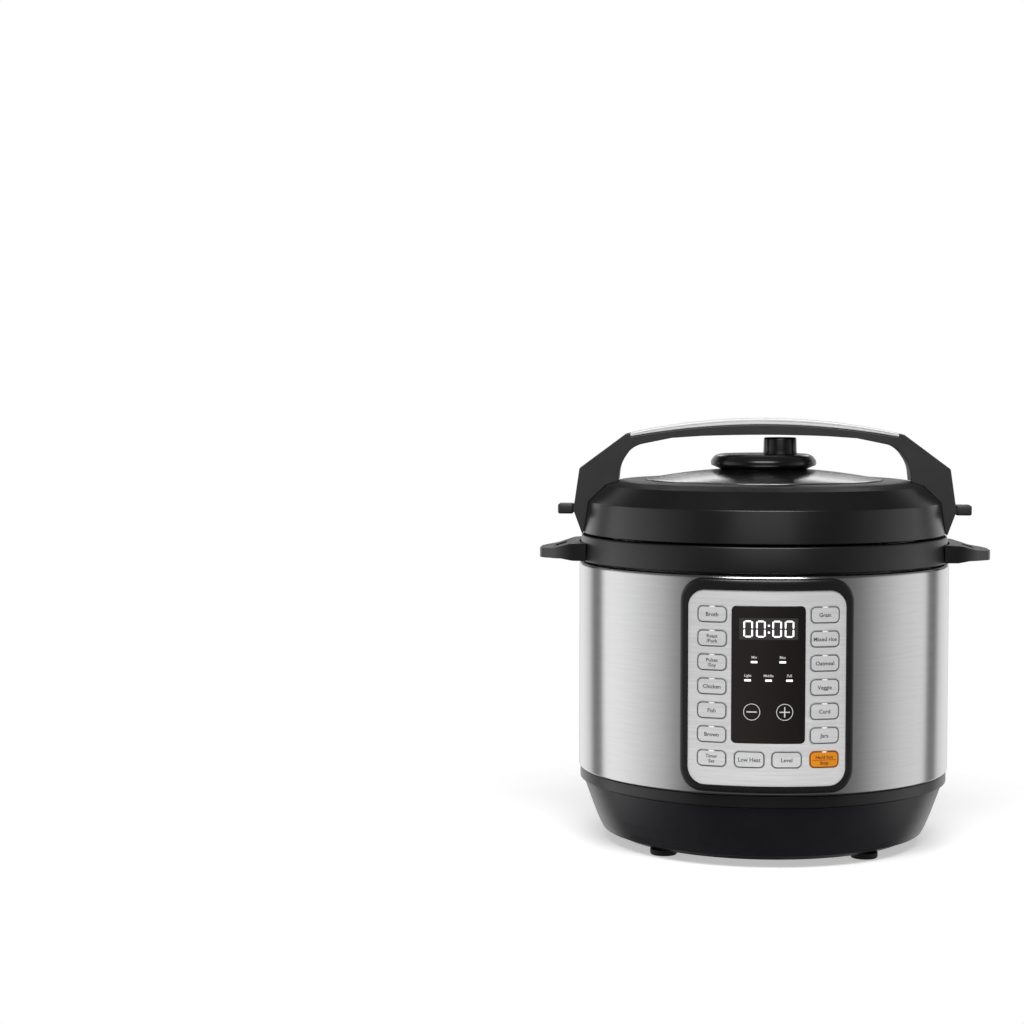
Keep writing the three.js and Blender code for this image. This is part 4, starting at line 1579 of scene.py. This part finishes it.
@dataclass
class Studio:
    """Floor, light and camera."""

    lens: float = 81.8
    camera_height: float = 354.0
    distance: float = 1783.0
    azimuth: float = -1.4
    aim: tuple[float, float] = (252.0, -137.0)
    bands: tuple[tuple[float, float], ...] = (
        (-180, 0.10), (-174, 0.30), (-166, 1.00), (-150, 1.10), (-138, 0.90), (-131, 0.20),
        (-121, 0.20),
        (-117, 1.32), (-101, 1.24), (-83, 1.02), (-67, 0.73), (-53, 0.38), (-40, 0.10),
        (40, 0.10), (60, 0.27), (75, 0.59), (92, 0.88), (117, 1.05), (121, 0.20), (131, 0.20),
        (138, 0.90), (150, 1.00), (166, 0.90), (174, 0.30), (180, 0.10),
    )
    downward_fall: tuple[float, float] = (3.2, 1.2)
    dim_height: float = 0.7
    dim_level: float = 0.12
    floor_fade: tuple[float, float] = (0.16, 0.42)
    light_aim: tuple[float, float, float] = (0.0, 0.0, 0.15)

    def build(self) -> None:
        """Build the floor, lights, surroundings and camera."""
        self._camera()
        self._floor()
        self._surroundings()
        self._lights()
        bpy.context.scene.view_settings.view_transform = "Standard"

    def _camera(self) -> None:
        """Place the camera so that the cooker's axis and the horizon lie where they should.

        The aim is the offset of the picture's centre from the cooker's axis and from the
        horizon, in units of which the picture's width has PICTURE_WIDTH.
        """
        angle = math.radians(self.azimuth)
        distance = self.distance * MM
        ahead = AXIS_Y * MM - math.cos(angle) * distance
        spot = Vector((math.sin(angle) * distance, ahead, self.camera_height * MM))
        focal = self.lens / SENSOR_WIDTH * PICTURE_WIDTH
        pitch = math.atan(self.aim[1] / focal)
        yaw = math.atan(self.aim[0] * math.cos(pitch) / focal)
        data = bpy.data.cameras.new("camera")
        data.lens = self.lens
        data.sensor_width = SENSOR_WIDTH
        data.clip_end = 50.0
        camera = bpy.data.objects.new("camera", data)
        camera.location = spot
        camera.rotation_euler = (QUARTER + pitch, 0.0, angle + yaw)
        bpy.context.scene.collection.objects.link(camera)
        bpy.context.scene.camera = camera

    def _floor(self) -> None:
        """Lay a round pale floor that fades into the surroundings."""
        Bench.clear()
        bpy.ops.mesh.primitive_circle_add(
            vertices=96, radius=0.5, fill_type="NGON", location=(0, 0, -0.0002)
        )
        floor = Bench.named("studio_floor")
        paint = Paint("studio_floor_white")
        x, y, _ = paint.place()
        fade = x.hypot(y).between(*self.floor_fade)
        paint.set(
            Base_Color=(0.93, 0.93, 0.93), Roughness=0.6,
            Emission_Color=(1.0, 1.0, 1.0), Emission_Strength=0.45,
        )
        clear = paint.node("ShaderNodeBsdfTransparent")
        sockets = {0: fade, 1: paint.shader.outputs[0], 2: clear.outputs[0]}
        mixed = paint.node("ShaderNodeMixShader", {}, sockets)
        paint.feed(paint.output.inputs["Surface"], mixed.outputs[0])
        floor.data.materials.append(paint.material)
        floor.visible_glossy = False

    def _surroundings(self) -> None:
        """Light the scene from all round with upright bands, while the camera sees plain white.

        The bands dim with height above the horizon, and below it from a short way down.
        """
        world = bpy.data.worlds.new("studio")
        bpy.context.scene.world = world
        world.use_nodes = True
        graph = Graph(world.node_tree)
        x, y, z = graph.parts_of(graph.node("ShaderNodeTexCoord").outputs["Generated"])
        turn = x.angle_to(y * -1.0) / (2 * math.pi) + 0.5
        stops = [(angle / 360 + 0.5, (level, level, level)) for angle, level in self.bands]
        bands = graph.node("ShaderNodeValToRGB", {"stops": stops}, {0: turn})
        slope, start = self.downward_fall
        height = z.at_least(z * -slope - start)
        strength = height.between(0.0, self.dim_height, 1.0, self.dim_level)
        background = graph.tree.nodes["Background"]
        graph.feed(background.inputs["Color"], bands.outputs[0])
        graph.feed(background.inputs["Strength"], strength)
        backdrop = graph.node("ShaderNodeBackground", {}, {"Color": (1.0, 1.0, 1.0)})
        is_camera = graph.node("ShaderNodeLightPath").outputs["Is Camera Ray"]
        sockets = {0: is_camera, 1: background.outputs[0], 2: backdrop.outputs[0]}
        mixed = graph.node("ShaderNodeMixShader", {}, sockets)
        graph.feed(graph.tree.nodes["World Output"].inputs["Surface"], mixed.outputs[0])

    def _lights(self) -> None:
        """Hang three soft boxes: a large one high in front, a lower one in front, one behind.

        Each has a name, an azimuth in degrees, a distance and height in metres, a width and
        height in metres and a power in watts.
        """
        boxes = (
            ("front_top_box", 0, 1.60, 2.00, (1.6, 1.0), 50.0),
            ("front_box", 0, 2.40, 0.80, (1.7, 0.66), 3.6),
            ("back_box", 180, 1.50, 0.93, (0.8, 0.42), 2.4),
        )
        for name, azimuth, distance, height, size, power in boxes:
            data = bpy.data.lights.new(name, "AREA")
            data.shape = "RECTANGLE"
            data.size, data.size_y = size
            data.energy = power
            light = bpy.data.objects.new(name, data)
            angle = math.radians(azimuth)
            light.location = (math.sin(angle) * distance, -math.cos(angle) * distance, height)
            aim = Vector(self.light_aim) - light.location
            light.rotation_euler = aim.to_track_quat("-Z", "Y").to_euler()
            bpy.context.scene.collection.objects.link(light)


def main() -> None:
    """Build the cooker's looks in order and report each piece."""
    logging.basicConfig(level=logging.INFO, format="%(message)s")
    palette = Palette()
    parts = (Base, Collar, Panel, Lid, Insides)
    for part in (Studio(), *(kind(palette) for kind in parts)):
        LOG.info("building %s", type(part).__name__)
        part.build()


if __name__ == "__main__":
    main()
